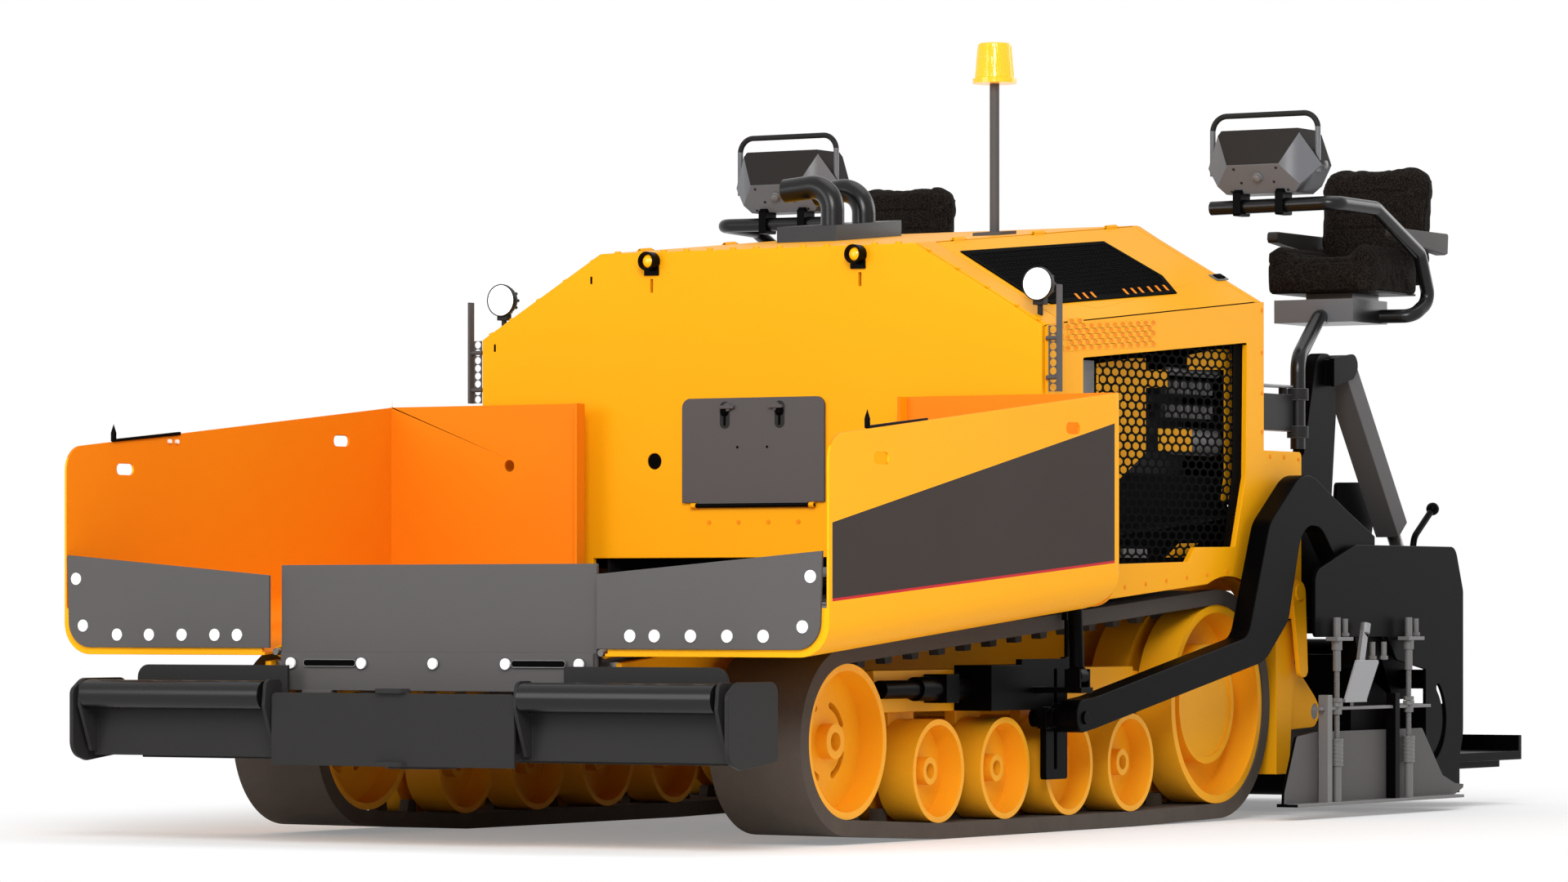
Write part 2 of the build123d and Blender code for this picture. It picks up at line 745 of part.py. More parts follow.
gusset_high = wing_top_z(wing_rear_x)
gusset_front_x = wing_rear_x + 12
gusset_edge_y = wing_outer_y - 4
gusset = plate_yz(
    [(gusset_inner_y, gusset_low + 130), (gusset_inner_y, gusset_high), (gusset_edge_y, gusset_high),
     (gusset_edge_y, gusset_low + 130)],
    wing_rear_x, gusset_front_x,
)
gusset_foot = plate_yz(
    [(gusset_inner_y, gusset_low), (gusset_inner_y, gusset_low + 132), (gusset_edge_y, gusset_low + 132),
     (gusset_edge_y, gusset_low, wing_bend_radius - 6)],
    wing_rear_x, gusset_front_x,
)
lock_hole_y = 1010
lock_hole_z = 1330
lock_hole_radius = 22
gusset_hole = rod((wing_rear_x - 10, lock_hole_y, lock_hole_z),
                  (gusset_front_x + 10, lock_hole_y, lock_hole_z),
                  lock_hole_radius)
gusset_flange = block(wing_rear_x, wing_rear_x + 55, gusset_inner_y - 12, gusset_inner_y, gusset_low + 20,
                      gusset_high)
front_lip = plate_yz(
    [(floor_edge_y + 10, floor_front_z + 1), (wing_outer_y - 6, floor_front_z + 1, wing_bend_radius - 6),
     (wing_outer_y - 6, floor_front_z + 161), (wing_outer_y - 40, floor_front_z + 161),
     (wing_outer_y - 40, floor_front_z + 70, 60), (wing_outer_y - 90, floor_front_z + 46),
     (floor_edge_y + 10, floor_front_z + 46)],
    wing_front_x - 10, wing_front_x,
)
wing += gusset + gusset_foot + gusset_flange + front_lip
wing -= gusset_hole
hook_slots = [
    # from the wing's front, depth under its top edge
    (338, 103),
    (1663, 101),
]
for setback, depth in hook_slots:
    x = wing_front_x - setback
    z = wing_top_z(x) - depth
    wing -= plate_xz([(x - 50, z - 20, 19), (x + 50, z - 20, 19), (x + 50, z + 20, 19), (x - 50, z + 20, 19)],
                     wing_outer_y - 30, wing_outer_y + 20)
for x in wing_knuckle_starts:
    leaf = floor_bar([(hinge_y, 0), (floor_edge_y + 10, 0), (floor_edge_y + 10, wing_sheet),
                      (hinge_y, wing_sheet + 10)],
                     x, x - knuckle_length)
    wing += hinge_bar(hinge_knuckle_radius, x, x - knuckle_length) + leaf
wing -= hinge_bar(hinge_pin_radius + pin_clearance, wing_front_x + 50, wing_rear_x - 50)
wing_lug_y = wing_outer_y - 220
wing_lug_z = 1380
wing_lug_reach = 14
wing += rod((wing_rear_x - wing_lug_reach, wing_lug_y, wing_lug_z), (wing_rear_x + 2, wing_lug_y, wing_lug_z),
            24)
pair("wing", wing)

flap_low_z = floor_front_z + 25
flap_outer_y = wing_outer_y - 20
flap = plate_yz(
    [(hinge_y + 4, flap_low_z), (flap_outer_y - 10, flap_low_z, 90),
     (flap_outer_y, floor_front_z + flap_outer_height),
     (hinge_y + 4, floor_front_z + flap_inner_height)],
    wing_front_x + seat_gap, wing_front_x + seat_gap + flap_thickness,
)
pair("wing_flap", flap)

# Wing cylinders: they stand in the gap between the hood front and the wing gusset
cylinder_axis = Vector(1, 0, 0)
cylinder_x = (hood_front_x + wing_rear_x) / 2
cylinder_foot_z = 560
cylinder_top = Vector(cylinder_x, wing_lug_y, wing_lug_z)
cylinder_foot = Vector(cylinder_x, wing_lug_y + 30, cylinder_foot_z)
cylinder_way = (cylinder_top - cylinder_foot).normalized()
cylinder_pin_radius = 12
cylinder_barrel_radius = 26
cylinder_bore = 18.5
cylinder_rod_radius = 17.5
barrel_start = cylinder_foot + cylinder_way * 30
barrel_end = cylinder_foot + cylinder_way * 660
rod_start = cylinder_foot + cylinder_way * 80


def across(point, reach, radius):
    """A round bar along the cylinder pins' direction, centred on a point."""
    return rod(tuple(point - cylinder_axis * reach), tuple(point + cylinder_axis * reach), radius)


wing_barrel = rod(tuple(barrel_start), tuple(barrel_end), cylinder_barrel_radius)
wing_barrel += across(cylinder_foot, 26, 34)
wing_barrel -= rod(tuple(rod_start - cylinder_way * 8), tuple(barrel_end + cylinder_way * 10), cylinder_bore)
wing_barrel -= across(cylinder_foot, 30, cylinder_pin_radius + pin_clearance)
wing_rod = rod(tuple(rod_start), tuple(cylinder_top), cylinder_rod_radius) + across(cylinder_top, 13, 30)
pair("wing_cylinder_barrel", wing_barrel)
pair("wing_cylinder_rod", wing_rod)

# Tow guides: block and slotted plate at each tow point, track tensioner and the cylinder's foot
guide_inner_y = track_center_y + beam_half
guide_outer_y = hood_half_width
tow_block = block(tow_pin_x - 90, tow_pin_x + 470, guide_inner_y, guide_outer_y, 440, 600)
slotted = plate_xz(
    [(tow_pin_x - 90, 190, 12), (tow_pin_x + 70, 190, 12), (tow_pin_x + 70, 380), (tow_pin_x + 250, 600),
     (tow_pin_x + 250, 620), (tow_pin_x - 90, 620, 12)],
    guide_outer_y - 25, guide_outer_y,
)
slot_half = 11
slot_cut = plate_xz(
    [(tow_pin_x - slot_half, 225, 10), (tow_pin_x + slot_half, 225, 10), (tow_pin_x + slot_half, 585, 10),
     (tow_pin_x - slot_half, 585, 10)],
    guide_outer_y - 30, guide_outer_y + 25,
)
tensioner_y = track_center_y + beam_half + 46
tensioner_z = 520
tensioner_runs = [
    # from x, to x, radius
    (tow_pin_x + 470, tow_pin_x + 830, 42),
    (tow_pin_x + 830, tow_pin_x + 1070, 32),
]
tensioner = block(tow_pin_x + 600, tow_pin_x + 690, track_center_y + beam_half + 4, tensioner_y + 50,
                  tensioner_z - 50, tensioner_z + 50)
for x_from, x_to, radius in tensioner_runs:
    tensioner += rod((x_from, tensioner_y, tensioner_z), (x_to, tensioner_y, tensioner_z), radius)
foot_x = cylinder_foot.X
foot_y = cylinder_foot.Y
foot_bracket = block(foot_x - 45, foot_x + 45, guide_outer_y - 5, foot_y + 40, cylinder_foot_z - 60,
                     cylinder_foot_z - 40)
for x in (foot_x - 40, foot_x + 28):
    foot_bracket += block(x, x + 12, foot_y - 30, foot_y + 32, cylinder_foot_z - 50, cylinder_foot_z + 25)
foot_bracket += across(cylinder_foot, 38, cylinder_pin_radius)
tow_pin = rod((tow_pin_x, guide_outer_y - 5, tow_pin_z), (tow_pin_x, arm_outer_y + 8, tow_pin_z),
              tow_pin_radius)
tow_boss = rod((tow_pin_x, guide_outer_y, tow_pin_z), (tow_pin_x, arm_inner_y - 6, tow_pin_z), 52)
clamp_half = 92
clamp_proud = 10
clamp = block(tow_pin_x - clamp_half, tow_pin_x + clamp_half, guide_outer_y - 25, guide_outer_y + clamp_proud,
              tow_pin_z - 38, tow_pin_z + 38)
clamp_bolt_radius = 34
for x in (tow_pin_x - 58, tow_pin_x + 58):
    clamp += rod((x, guide_outer_y - 60, tow_pin_z), (x, arm_inner_y - 10, tow_pin_z), clamp_bolt_radius)
    clamp -= rod((x, guide_outer_y + 8, tow_pin_z), (x, arm_inner_y + 10, tow_pin_z), clamp_bolt_radius / 2)
height_rod_x = tow_pin_x - 110
height_rod_y = guide_outer_y - 14
height_rod_top = skirt_z(height_rod_x + 20) - seat_gap
clevis_half = 11
height_rod = rod((height_rod_x, height_rod_y, 590), (height_rod_x, height_rod_y, height_rod_top), 9)
for z_low, z_high, reach in ((560, 625, 28), (height_rod_top - 52, height_rod_top, 20)):
    height_rod += block(height_rod_x - reach, height_rod_x + reach, height_rod_y - clevis_half,
                        height_rod_y + clevis_half, z_low, z_high)
tow_guide = tow_block - slot_cut + (slotted - slot_cut) + tensioner + foot_bracket + tow_pin + tow_boss
tow_guide = tow_guide + clamp + height_rod
keep("tow_guides", tow_guide, right_hand(tow_guide))

# Hood front: the bulkhead behind the hopper
front_inner_x = hood_front_x - panel_thickness
side_front_x = front_inner_x - seat_gap
front_low_z = 800
mouth_z = 985
mouth_half = frame_inner_y
front_edge_y = hood_half_width - 10
bulkhead = plate_yz(
    [(-front_edge_y, front_low_z), (-mouth_half, front_low_z), (-mouth_half, mouth_z), (mouth_half, mouth_z),
     (mouth_half, front_low_z), (front_edge_y, front_low_z), (front_edge_y, eave_front_z),
     (roof_half_width - 4, roof_front_z), (-roof_half_width + 4, roof_front_z),
     (-front_edge_y, eave_front_z)],
    front_inner_x, hood_front_x,
)
door_high_z = door_low_z + door_height
bulkhead -= block(front_inner_x - 30, hood_front_x + 30, -door_half_width + door_lap,
                  door_half_width - door_lap,
                  door_low_z + door_lap, door_high_z - door_lap)
socket_y = -432
socket_z = 1342
socket_radius = 30
bulkhead -= rod((front_inner_x - 30, socket_y, socket_z), (hood_front_x + 30, socket_y, socket_z),
                socket_radius)
lamp_slit_y = 445
for y in (-lamp_slit_y, lamp_slit_y):
    bulkhead -= block(front_inner_x - 30, hood_front_x + 30, y - 6, y + 6, roof_front_z - 149,
                      roof_front_z - 99)
door_pin_x = hood_front_x + door_pin_out
door_pin_z = door_low_z - door_pin_drop
door_pin_half = 262
ear_width = 20
for y in (-door_pin_half, door_pin_half - ear_width):
    bulkhead += rod((door_pin_x, y, door_pin_z), (door_pin_x, y + ear_width, door_pin_z), door_pin_radius + 2)
    bulkhead += block(hood_front_x - 1, door_pin_x, y, y + ear_width, door_pin_z - 10, door_pin_z + 8)
bulkhead -= rod((door_pin_x, -door_pin_half - 30, door_pin_z), (door_pin_x, door_pin_half + 30, door_pin_z),
                door_pin_radius + pin_clearance)
keep("hood_front", bulkhead)

# Door in the hood front, hinged on a bar under its lower edge, with two turn latches
door_face_x = hood_front_x + seat_gap
door_front_x = door_face_x + door_thickness
door = plate_yz([(-door_half_width, door_low_z), (-door_half_width, door_high_z, door_corner),
                 (door_half_width, door_high_z, door_corner), (door_half_width, door_low_z)], door_face_x,
                 door_front_x)
door += rod((door_pin_x, -door_pin_half, door_pin_z), (door_pin_x, door_pin_half, door_pin_z),
            door_pin_radius)
leaf_half = door_pin_half - ear_width - 6
door += block(door_face_x + 4, door_front_x, -leaf_half, leaf_half, door_pin_z, door_low_z + 4)
latch_z = door_high_z - 34
for y in (-104, 104):
    door += rod((door_front_x - 4, y, latch_z), (door_front_x + 10, y, latch_z), 16)
    door += block(door_front_x, door_front_x + 16, y - 30, y + 30, latch_z - 6, latch_z + 6)
keep("hood_door", door)

# Hood sides with the grille opening and the wheel arch
arch_radius = drive_radius + belt_thickness + 50
skirt_rear_z = 760
side_panel = plate_xz(
    [
        (side_front_x, skirt_z(side_front_x)),
        (side_front_x, eave_front_z + hood_lift(side_front_x)),
        (hood_rear_x, eave_front_z + hood_rise),
        (hood_rear_x, step_z),
        (step_rear_x, step_z, 20),
        (step_rear_x, skirt_rear_z, 60),
        (drive_x - 360, skirt_rear_z),
        (drive_x, skirt_z(drive_x)),
    ],
    side_inner_y, hood_half_width,
)
side_panel -= rod((drive_x, side_inner_y - 60, drive_z), (drive_x, hood_half_width + 60, drive_z),
                  arch_radius)
grille_front_x = hood_front_x - 293
grille_rear_x = hood_rear_x + 142
grille_edge = [
    # x, height, corner radius
    (grille_front_x, 1700, 10), (grille_rear_x, 1803, 10), (grille_rear_x + 10, 1298, 10),
    (grille_rear_x + 102, 1031, 10),
    (grille_rear_x + 428, 1027, 10), (grille_rear_x + 488, 972, 10), (grille_front_x, 955, 10),
]
side_panel -= plate_xz(grille_edge, side_inner_y - 40, hood_half_width + 20)
slant_fall = slant_height / (hood_half_width - roof_half_width)
eave_inner_z = eave_front_z - panel_thickness / math.cos(math.atan(slant_fall)) + panel_thickness * slant_fall
side_panel -= hood_bar([(side_inner_y, eave_inner_z - seat_gap), (hood_half_width, eave_front_z - seat_gap),
                        (hood_half_width + 9, eave_front_z - seat_gap),
                        (hood_half_width + 9, eave_front_z + 60),
                        (side_inner_y, eave_front_z + 60)], hood_front_x, hood_rear_x - 40)
boss_x = step_rear_x + 62
boss_z = 862
pear = plate_xz([(boss_x + 60, boss_z + 43, 50), (boss_x - 60, boss_z + 43, 50),
                 (boss_x - 85, boss_z - 327, 30),
                 (boss_x - 15, boss_z - 327, 30)], hood_half_width, hood_half_width + 18)
pear += rod((boss_x, hood_half_width, boss_z), (boss_x, hood_half_width + 26, boss_z), 32)
side_panel += pear
keep("hood_sides", side_panel, right_hand(side_panel))

# Side grilles: a punched sheet behind each opening, its hexagonal holes in staggered rows
grille_outer_y = side_inner_y - seat_gap
sheet_front_x = grille_front_x + 40
sheet_rear_x = grille_rear_x - 40
sheet_edge = [
    # x, height
    (sheet_front_x, 1745), (sheet_rear_x, 1852), (sheet_rear_x + 10, 1290), (sheet_rear_x + 113, 990),
    (sheet_rear_x + 448, 985), (sheet_rear_x + 510, 930), (sheet_front_x, 913),
]


def inside(edge, x, z):
    """Whether a point lies within a closed outline."""
    crossings = 0
    for index, here in enumerate(edge):
        following = edge[(index + 1) % len(edge)]
        if (here[1] > z) != (following[1] > z):
            reach = here[0] + (z - here[1]) * (following[0] - here[0]) / (following[1] - here[1])
            crossings += reach > x
    return crossings % 2 == 1


def hexagon(x, z):
    """One punched hole, longer along the machine than it is high."""
    half = grille_hole_length / 2
    rise = grille_hole_height / 2
    shoulder = half - rise * 0.6
    return outline([(x - half, z), (x - shoulder, z - rise), (x + shoulder, z - rise), (x + half, z),
                    (x + shoulder, z + rise), (x - shoulder, z + rise)])


def punched(edge, x_start, z_start, columns, rows):
    """Every hole of the pattern that lies whole within an outline."""
    holes = []
    for row in range(rows):
        z = z_start + row * grille_row_pitch
        for column in range(columns):
            x = x_start - column * grille_hole_pitch - (row % 2) * grille_hole_pitch / 2
            reach_x = grille_hole_length / 2 + 6
            reach_z = grille_hole_height / 2 + 6
            tips = [(x + a * reach_x, z + b * reach_z) for a in (-1, 1) for b in (-1, 1)]
            if all(inside(edge, tip_x, tip_z) for tip_x, tip_z in tips):
                holes.append(hexagon(x, z))
    return holes


grille_columns = int((grille_front_x - grille_rear_x) / grille_hole_pitch) + 1
grille_rows = int((1852 - 955) / grille_row_pitch)
grille_face = outline(sheet_edge) - punched(grille_edge, grille_front_x - 56, 990, grille_columns,
                                            grille_rows)
grille_sheet = extrude(Pos(0, grille_outer_y - grille_sheet_thickness, 0) * (Plane.XZ * grille_face),
                       amount=grille_sheet_thickness, dir=(0, 1, 0))
keep("side_grilles", grille_sheet, right_hand(grille_sheet))

# Roof: the flat centre panel and the fixed strips in front of and behind the lids
slant = Vector(roof_half_width - hood_half_width, slant_height).normalized()
inward = Vector(-slant.Y, slant.X) * panel_thickness
slant_angle = math.atan(slant_fall)
roof_mitre = panel_thickness * math.tan(slant_angle / 2)
eave_mitre = panel_thickness * math.tan((math.pi / 2 - slant_angle) / 2)


def slant_section(gap):
    """The slanting side between eave and roof, mitred and drawn in from both edges by a gap."""
    low = Vector(hood_half_width, eave_front_z) + slant * gap
    high = Vector(roof_half_width, roof_front_z) - slant * gap
    inner_high = high + inward - slant * roof_mitre
    inner_low = low + inward + slant * eave_mitre
    return [(low.X, low.Y), (high.X, high.Y), (inner_high.X, inner_high.Y), (inner_low.X, inner_low.Y)]


def roof_edge_rod(radius, x_start, x_end):
    """A round bar on the roof edge, where a lid hinges."""
    start = (x_start, roof_half_width, roof_front_z + hood_lift(x_start))
    end = (x_end, roof_half_width, roof_front_z + hood_lift(x_end))
    return rod(start, end, radius)


rear_inner_x = hood_rear_x + panel_thickness
roof_rear_x = rear_inner_x + seat_gap
rear_strip_x = hood_rear_x + 60
lid_front_edge_x = lid_front_x - panel_gap
lid_rear_edge_x = rear_strip_x + panel_gap
lid_length = lid_front_edge_x - lid_rear_edge_x
lid_knuckle_starts = [lid_front_edge_x - place * lid_length for place in lid_knuckle_places]
roof_under = roof_front_z - panel_thickness
roof_section = [(-roof_half_width + roof_mitre, roof_under), (roof_half_width - roof_mitre, roof_under),
                (roof_half_width, roof_front_z), (-roof_half_width, roof_front_z)]
roof = hood_bar(roof_section, side_front_x, roof_rear_x)
strip = hood_bar(slant_section(0), side_front_x, lid_front_x)
rear_strip = hood_bar(slant_section(0), rear_strip_x, roof_rear_x)
roof = roof + strip + rear_strip + right_hand(strip) + right_hand(rear_strip)
for x in lid_knuckle_starts:
    notch = roof_edge_rod(lid_knuckle_radius + 2, x + 4, x - lid_knuckle_length - 4)
    pin = roof_edge_rod(lid_pin_radius, x + 16, x - lid_knuckle_length - 16)
    roof = roof - notch - right_hand(notch)
    roof = roof + pin + right_hand(pin)
keep("hood_roof", roof)

# Hood lids: slanting panels hinged along the roof, each with a mesh opening
lid = hood_bar(slant_section(panel_gap), lid_front_edge_x, lid_rear_edge_x)
mesh_inner_y = roof_half_width + 116
mesh_outer_y = hood_half_width - 75
mesh_middle_y = hood_half_width - 165
mesh_edge = [
    # x, y, corner radius
    (lid_front_edge_x - 134, mesh_inner_y, 20), (lid_rear_edge_x + 304, mesh_inner_y, 20),
    (lid_rear_edge_x + 304, mesh_middle_y, 60), (lid_front_edge_x - 354, mesh_outer_y, 30),
    (lid_front_edge_x - 134, mesh_middle_y, 30),
]
lid -= plate_xy(mesh_edge, eave_front_z - 100, roof_front_z + hood_rise + 200)
for x in lid_knuckle_starts:
    lid += roof_edge_rod(lid_knuckle_radius, x, x - lid_knuckle_length)
    lid -= roof_edge_rod(lid_pin_radius + pin_clearance, x + 20, x - lid_knuckle_length - 20)
pair("hood_lid", lid)

# Hood rear wall, step deck and lower wall
rear_eave_z = eave_front_z + hood_rise
rear_roof_z = roof_front_z + hood_rise
rear_wall = plate_yz(
    [(-side_inner_y, step_z), (side_inner_y, step_z), (side_inner_y, rear_eave_z - 12),
     (roof_half_width, rear_roof_z - 4),
     (-roof_half_width, rear_roof_z - 4), (-side_inner_y, rear_eave_z - 12)],
    hood_rear_x, rear_inner_x,
)
rear_wall += block(step_rear_x, rear_inner_x, -side_inner_y, side_inner_y, step_z - 20, step_z)
rear_wall += block(step_rear_x, step_rear_x + 20, -side_inner_y, side_inner_y, deck_rise + 1000, step_z)
keep("hood_rear", rear_wall)

# Engine deck over the tunnel and the engine on it
deck_front_x = side_front_x
deck_rear_x = step_rear_x + 30
deck_half = grille_outer_y - grille_sheet_thickness - 0.7
tunnel_wall_y = pan_half + 20
engine_deck = floor_bar([(-deck_half, deck_rise), (deck_half, deck_rise),
                         (deck_half, deck_rise + deck_thickness),
                         (-deck_half, deck_rise + deck_thickness)], deck_front_x, deck_rear_x)
tunnel_wall = floor_bar([(tunnel_wall_y, -rail_drop + 1), (tunnel_wall_y + 12, -rail_drop + 1),
                         (tunnel_wall_y + 12, deck_rise), (tunnel_wall_y, deck_rise)], deck_front_x,
                         deck_rear_x)
deck_solid = engine_deck + tunnel_wall + right_hand(tunnel_wall)
keep("engine_deck", deck_solid)
engine_seat = deck_rise + deck_thickness + seat_gap
radiator_top_z = 1850
radiator_thickness = 100
radiator_front_x = grille_front_x
radiator_rear_x = radiator_front_x - radiator_thickness
engine_front_x = radiator_rear_x - 70
engine_rear_x = hood_rear_x + 280
engine_half = 330
engine_top_z = 1500
engine_cover_height = 300
engine_base = [(-engine_half, engine_seat), (engine_half, engine_seat), (engine_half, engine_seat + 130),
               (-engine_half, engine_seat + 130)]
engine = floor_bar(engine_base, engine_front_x, engine_rear_x)
engine += block(engine_rear_x, engine_front_x, -engine_half, engine_half,
                floor_z(engine_rear_x) + engine_seat + 20,
                engine_top_z)
engine += block(engine_rear_x + 50, engine_front_x - 100, -engine_half + 80, engine_half - 80, engine_top_z,
                engine_top_z + engine_cover_height)
radiator_half = 700
radiator_base = [(-radiator_half, engine_seat), (radiator_half, engine_seat),
                 (radiator_half, engine_seat + 60),
                 (-radiator_half, engine_seat + 60)]
radiator = floor_bar(radiator_base, radiator_front_x, radiator_rear_x)
radiator += block(radiator_rear_x, radiator_front_x, -radiator_half, radiator_half,
                  floor_z(radiator_rear_x) + engine_seat + 30, radiator_top_z)
keep("engine_block", engine, radiator)

# Rear columns behind the tracks, with the outer auger bearing
column_front_x = track_rear_x - 25
column_outer_y = side_inner_y - 3
column_width = 160
column_low_z = 165
column_inner_y = column_outer_y - column_width
column_top_z = skirt_rear_z - 5
column = plate_xz([(column_front_x, column_low_z), (column_front_x, column_top_z),
                   (step_rear_x - 10, column_top_z),
                   (step_rear_x + 56, column_low_z)], column_inner_y, column_outer_y)
bearing_y = auger_outer_y + 12
bearing_thickness = 25
bearing = plate_xz(
    [(step_rear_x + 52, 640), (step_rear_x + 92, 330), (auger_x, auger_z - 60, 50),
     (auger_x - 60, auger_z, 50),
     (auger_x, auger_z + 60, 50)],
    bearing_y, bearing_y + bearing_thickness,
)
bearing -= rod((auger_x, bearing_y - 40, auger_z), (auger_x, bearing_y + 40, auger_z),
               auger_journal_radius + pin_clearance)
tie = block(column_front_x - 145, column_front_x - 45, frame_half_width, column_inner_y, 560, 660)
column = column + bearing + tie
keep("rear_columns", column, right_hand(column))

# Centre case that drives the augers
case_half = auger_inner_y - 7
case = plate_xz(
    [(frame_rear_x, 470), (frame_rear_x, 690), (auger_x - 60, 520, 40), (auger_x - 95, auger_z, 60),
     (auger_x, auger_z - 95, 60)],
    -case_half, case_half,
)
case -= rod((auger_x, -case_half - 40, auger_z), (auger_x, case_half + 40, auger_z),
            auger_journal_radius + pin_clearance)
keep("auger_case", case)

# Augers: a shaft with one helical flight, pushing outwards
flight_length = auger_outer_y - auger_inner_y - 40
flight_depth = auger_radius - auger_shaft_radius + 16
flight_bar = Pos(auger_shaft_radius / 2 + auger_radius / 2 - 8, 0) * Rectangle(flight_depth, 46)
flight = Solid.extrude_linear_with_rotation(
    flight_bar.face(), center=(0, 0, 0), normal=(0, 0, flight_length),
    angle=360 * flight_length / auger_pitch,
)
flight = Pos(auger_x, auger_inner_y + 20, auger_z) * (Rot(-90, 0, 0) * flight)
auger = rod((auger_x, auger_inner_y, auger_z), (auger_x, auger_outer_y, auger_z), auger_shaft_radius) + flight
auger += rod((auger_x, 10, auger_z), (auger_x, bearing_y + bearing_thickness - 2, auger_z),
             auger_journal_radius)
pair("auger", auger)

# Lift posts with the cylinder's upper pin
post_inner_y = lift_y - 25
post_outer_y = lift_y + 25
post_plate = plate_xz(
    [
        (step_rear_x - seat_gap, skirt_rear_z + 2), (step_rear_x - seat_gap, step_z - 70),
        (step_rear_x - 88, step_z),
        (lift_top_x + 242, lift_top_z + 45, 70), (lift_top_x + 97, lift_top_z + 45, 70),
        (lift_top_x + 67, lift_top_z - 145),
        (step_rear_x - 328, 1180), (step_rear_x - 308, skirt_rear_z + 2),
    ],
    post_inner_y, post_outer_y,
)
lug_outline = [(lift_top_x + 177, lift_top_z - 85), (lift_top_x + 177, lift_top_z + 25),
               (lift_top_x - 10, lift_top_z + 50, 45),
               (lift_top_x - 50, lift_top_z, 40), (lift_top_x, lift_top_z - 50, 40)]
lug_thickness = 14
lug_low_y = lift_y - lift_cover_width / 2 - 3 - lug_thickness
lug_high_y = lift_y + lift_cover_width / 2 + 3
post_lugs = block(lift_top_x + 137, lift_top_x + 172, lug_low_y, lug_high_y + lug_thickness, lift_top_z - 80,
                  lift_top_z + 20)
for y in (lug_low_y, lug_high_y):
    post_lugs += plate_xz(lug_outline, y, y + lug_thickness)
post_lugs += rod((lift_top_x, lug_low_y, lift_top_z), (lift_top_x, lug_high_y + lug_thickness, lift_top_z),
                 lift_pin_radius)
post_solid = post_plate + post_lugs
keep("lift_posts", post_solid, right_hand(post_solid))

# Screed lift cylinders
lift_top = Vector(lift_top_x, lift_y, lift_top_z)
lift_eye = Vector(lift_eye_x, lift_y, lift_eye_z)
lift_way = (lift_eye - lift_top).normalized()


def square_bar(start, end, width):
    """A square bar between two points in a plane of constant Y."""
    plane = Plane(origin=start, x_dir=(0, 1, 0), z_dir=end - start)
    return extrude(plane * Rectangle(width, width), amount=(end - start).length,
                   dir=tuple((end - start).normalized()))


lift_bore_radius = lift_rod_radius + 1
eye_radius = 45
lift_barrel = square_bar(lift_top + lift_way * 30, lift_top + lift_way * lift_cover_length, lift_cover_width)
lift_barrel += rod((lift_top_x, lift_y - eye_radius, lift_top_z),
                   (lift_top_x, lift_y + eye_radius, lift_top_z), eye_radius)
lift_barrel -= rod((lift_top_x, lift_y - 80, lift_top_z), (lift_top_x, lift_y + 80, lift_top_z),
                   lift_pin_radius + pin_clearance)
lift_barrel -= rod(tuple(lift_top + lift_way * 330), tuple(lift_top + lift_way * (lift_cover_length + 23)),
                   lift_bore_radius)
lift_rod = rod(tuple(lift_top + lift_way * (lift_cover_length - 97)), tuple(lift_eye), lift_rod_radius)
lift_rod += rod((lift_eye_x, lift_y - 25, lift_eye_z), (lift_eye_x, lift_y + 25, lift_eye_z), 40)
keep("lift_cylinder_barrels", lift_barrel, right_hand(lift_barrel))
keep("lift_cylinder_rods", lift_rod, right_hand(lift_rod))

# Tow arms: from the tow pin back over the column in an arch and down to the screed
arch_x = drive_x - 409
arm = plate_xz(
    [
        (tow_pin_x + 62, tow_pin_z - 60, 50), (tow_pin_x + 62, tow_pin_z + 60, 50), (tow_pin_x - 90, 485),
        (drive_x + 72, 692, 90), (arch_x + 299, 1120, 120), (arch_x, 1335, 200), (auger_x + 50, 1180, 160),
        (screed_front_x, 1080), (screed_front_x, 560, 40), (screed_front_x + 135, 560, 60),
        (auger_x + 50, 900, 60),
        (arch_x - 141, 1110, 120), (arch_x + 19, 1120, 120), (arch_x + 140, 753, 80),
        (drive_x - 70, 600, 200),
        (tow_pin_x - 90, 372),
    ],
    arm_inner_y, arm_outer_y,
)
arm -= rod((tow_pin_x, arm_inner_y - 40, tow_pin_z), (tow_pin_x, arm_outer_y + 40, tow_pin_z),
           tow_pin_radius + pin_clearance)
keep("tow_arms", arm, right_hand(arm))

# Screed: moulded front, bottom plate and upper frame, with towers and slide blocks
frame_inner_face_y = screed_half_width - side_frame_thickness
screed = plate_xz(
    [(screed_front_x, screed_top_z), (screed_front_x, screed_bottom_z + 125),
     (screed_front_x - 60, screed_bottom_z, 60),
     (screed_rear_x, screed_bottom_z), (screed_rear_x, screed_top_z)],
    -screed_half_width, screed_half_width,
)
cross_beams = [
    # behind the screed's front, depth, low z, high z
    (20, 40, screed_top_z, 620),
    (185, 110, 700, 820),
]
for setback, depth, z_low, z_high in cross_beams:
    screed += block(screed_front_x - setback, screed_front_x - setback - depth, -screed_half_width,
                    screed_half_width,
                    z_low, z_high)
side_frame = plate_xz(
    [
        (screed_front_x, screed_top_z), (screed_front_x, 1030, 30), (extension_rear_x - 40, 1000, 60),
        (extension_rear_x - 120, 760, 60), (extension_rear_x - 40, 690, 40),
        (extension_front_x - 170, 690, 40),
        (extension_front_x - 150, 440, 20), (screed_rear_x, 440), (screed_rear_x, screed_top_z),
    ],
    frame_inner_face_y, screed_half_width,
)
inner_frame_x = screed_front_x - 185
inner_frame = plate_xz(
    [(inner_frame_x, 690), (inner_frame_x, 830, 30), (extension_rear_x - 80, 900, 60),
     (extension_rear_x - 100, 700, 30)],
    lift_y - lift_cover_width / 2 - 23, lift_y - lift_cover_width / 2 - 5,
)
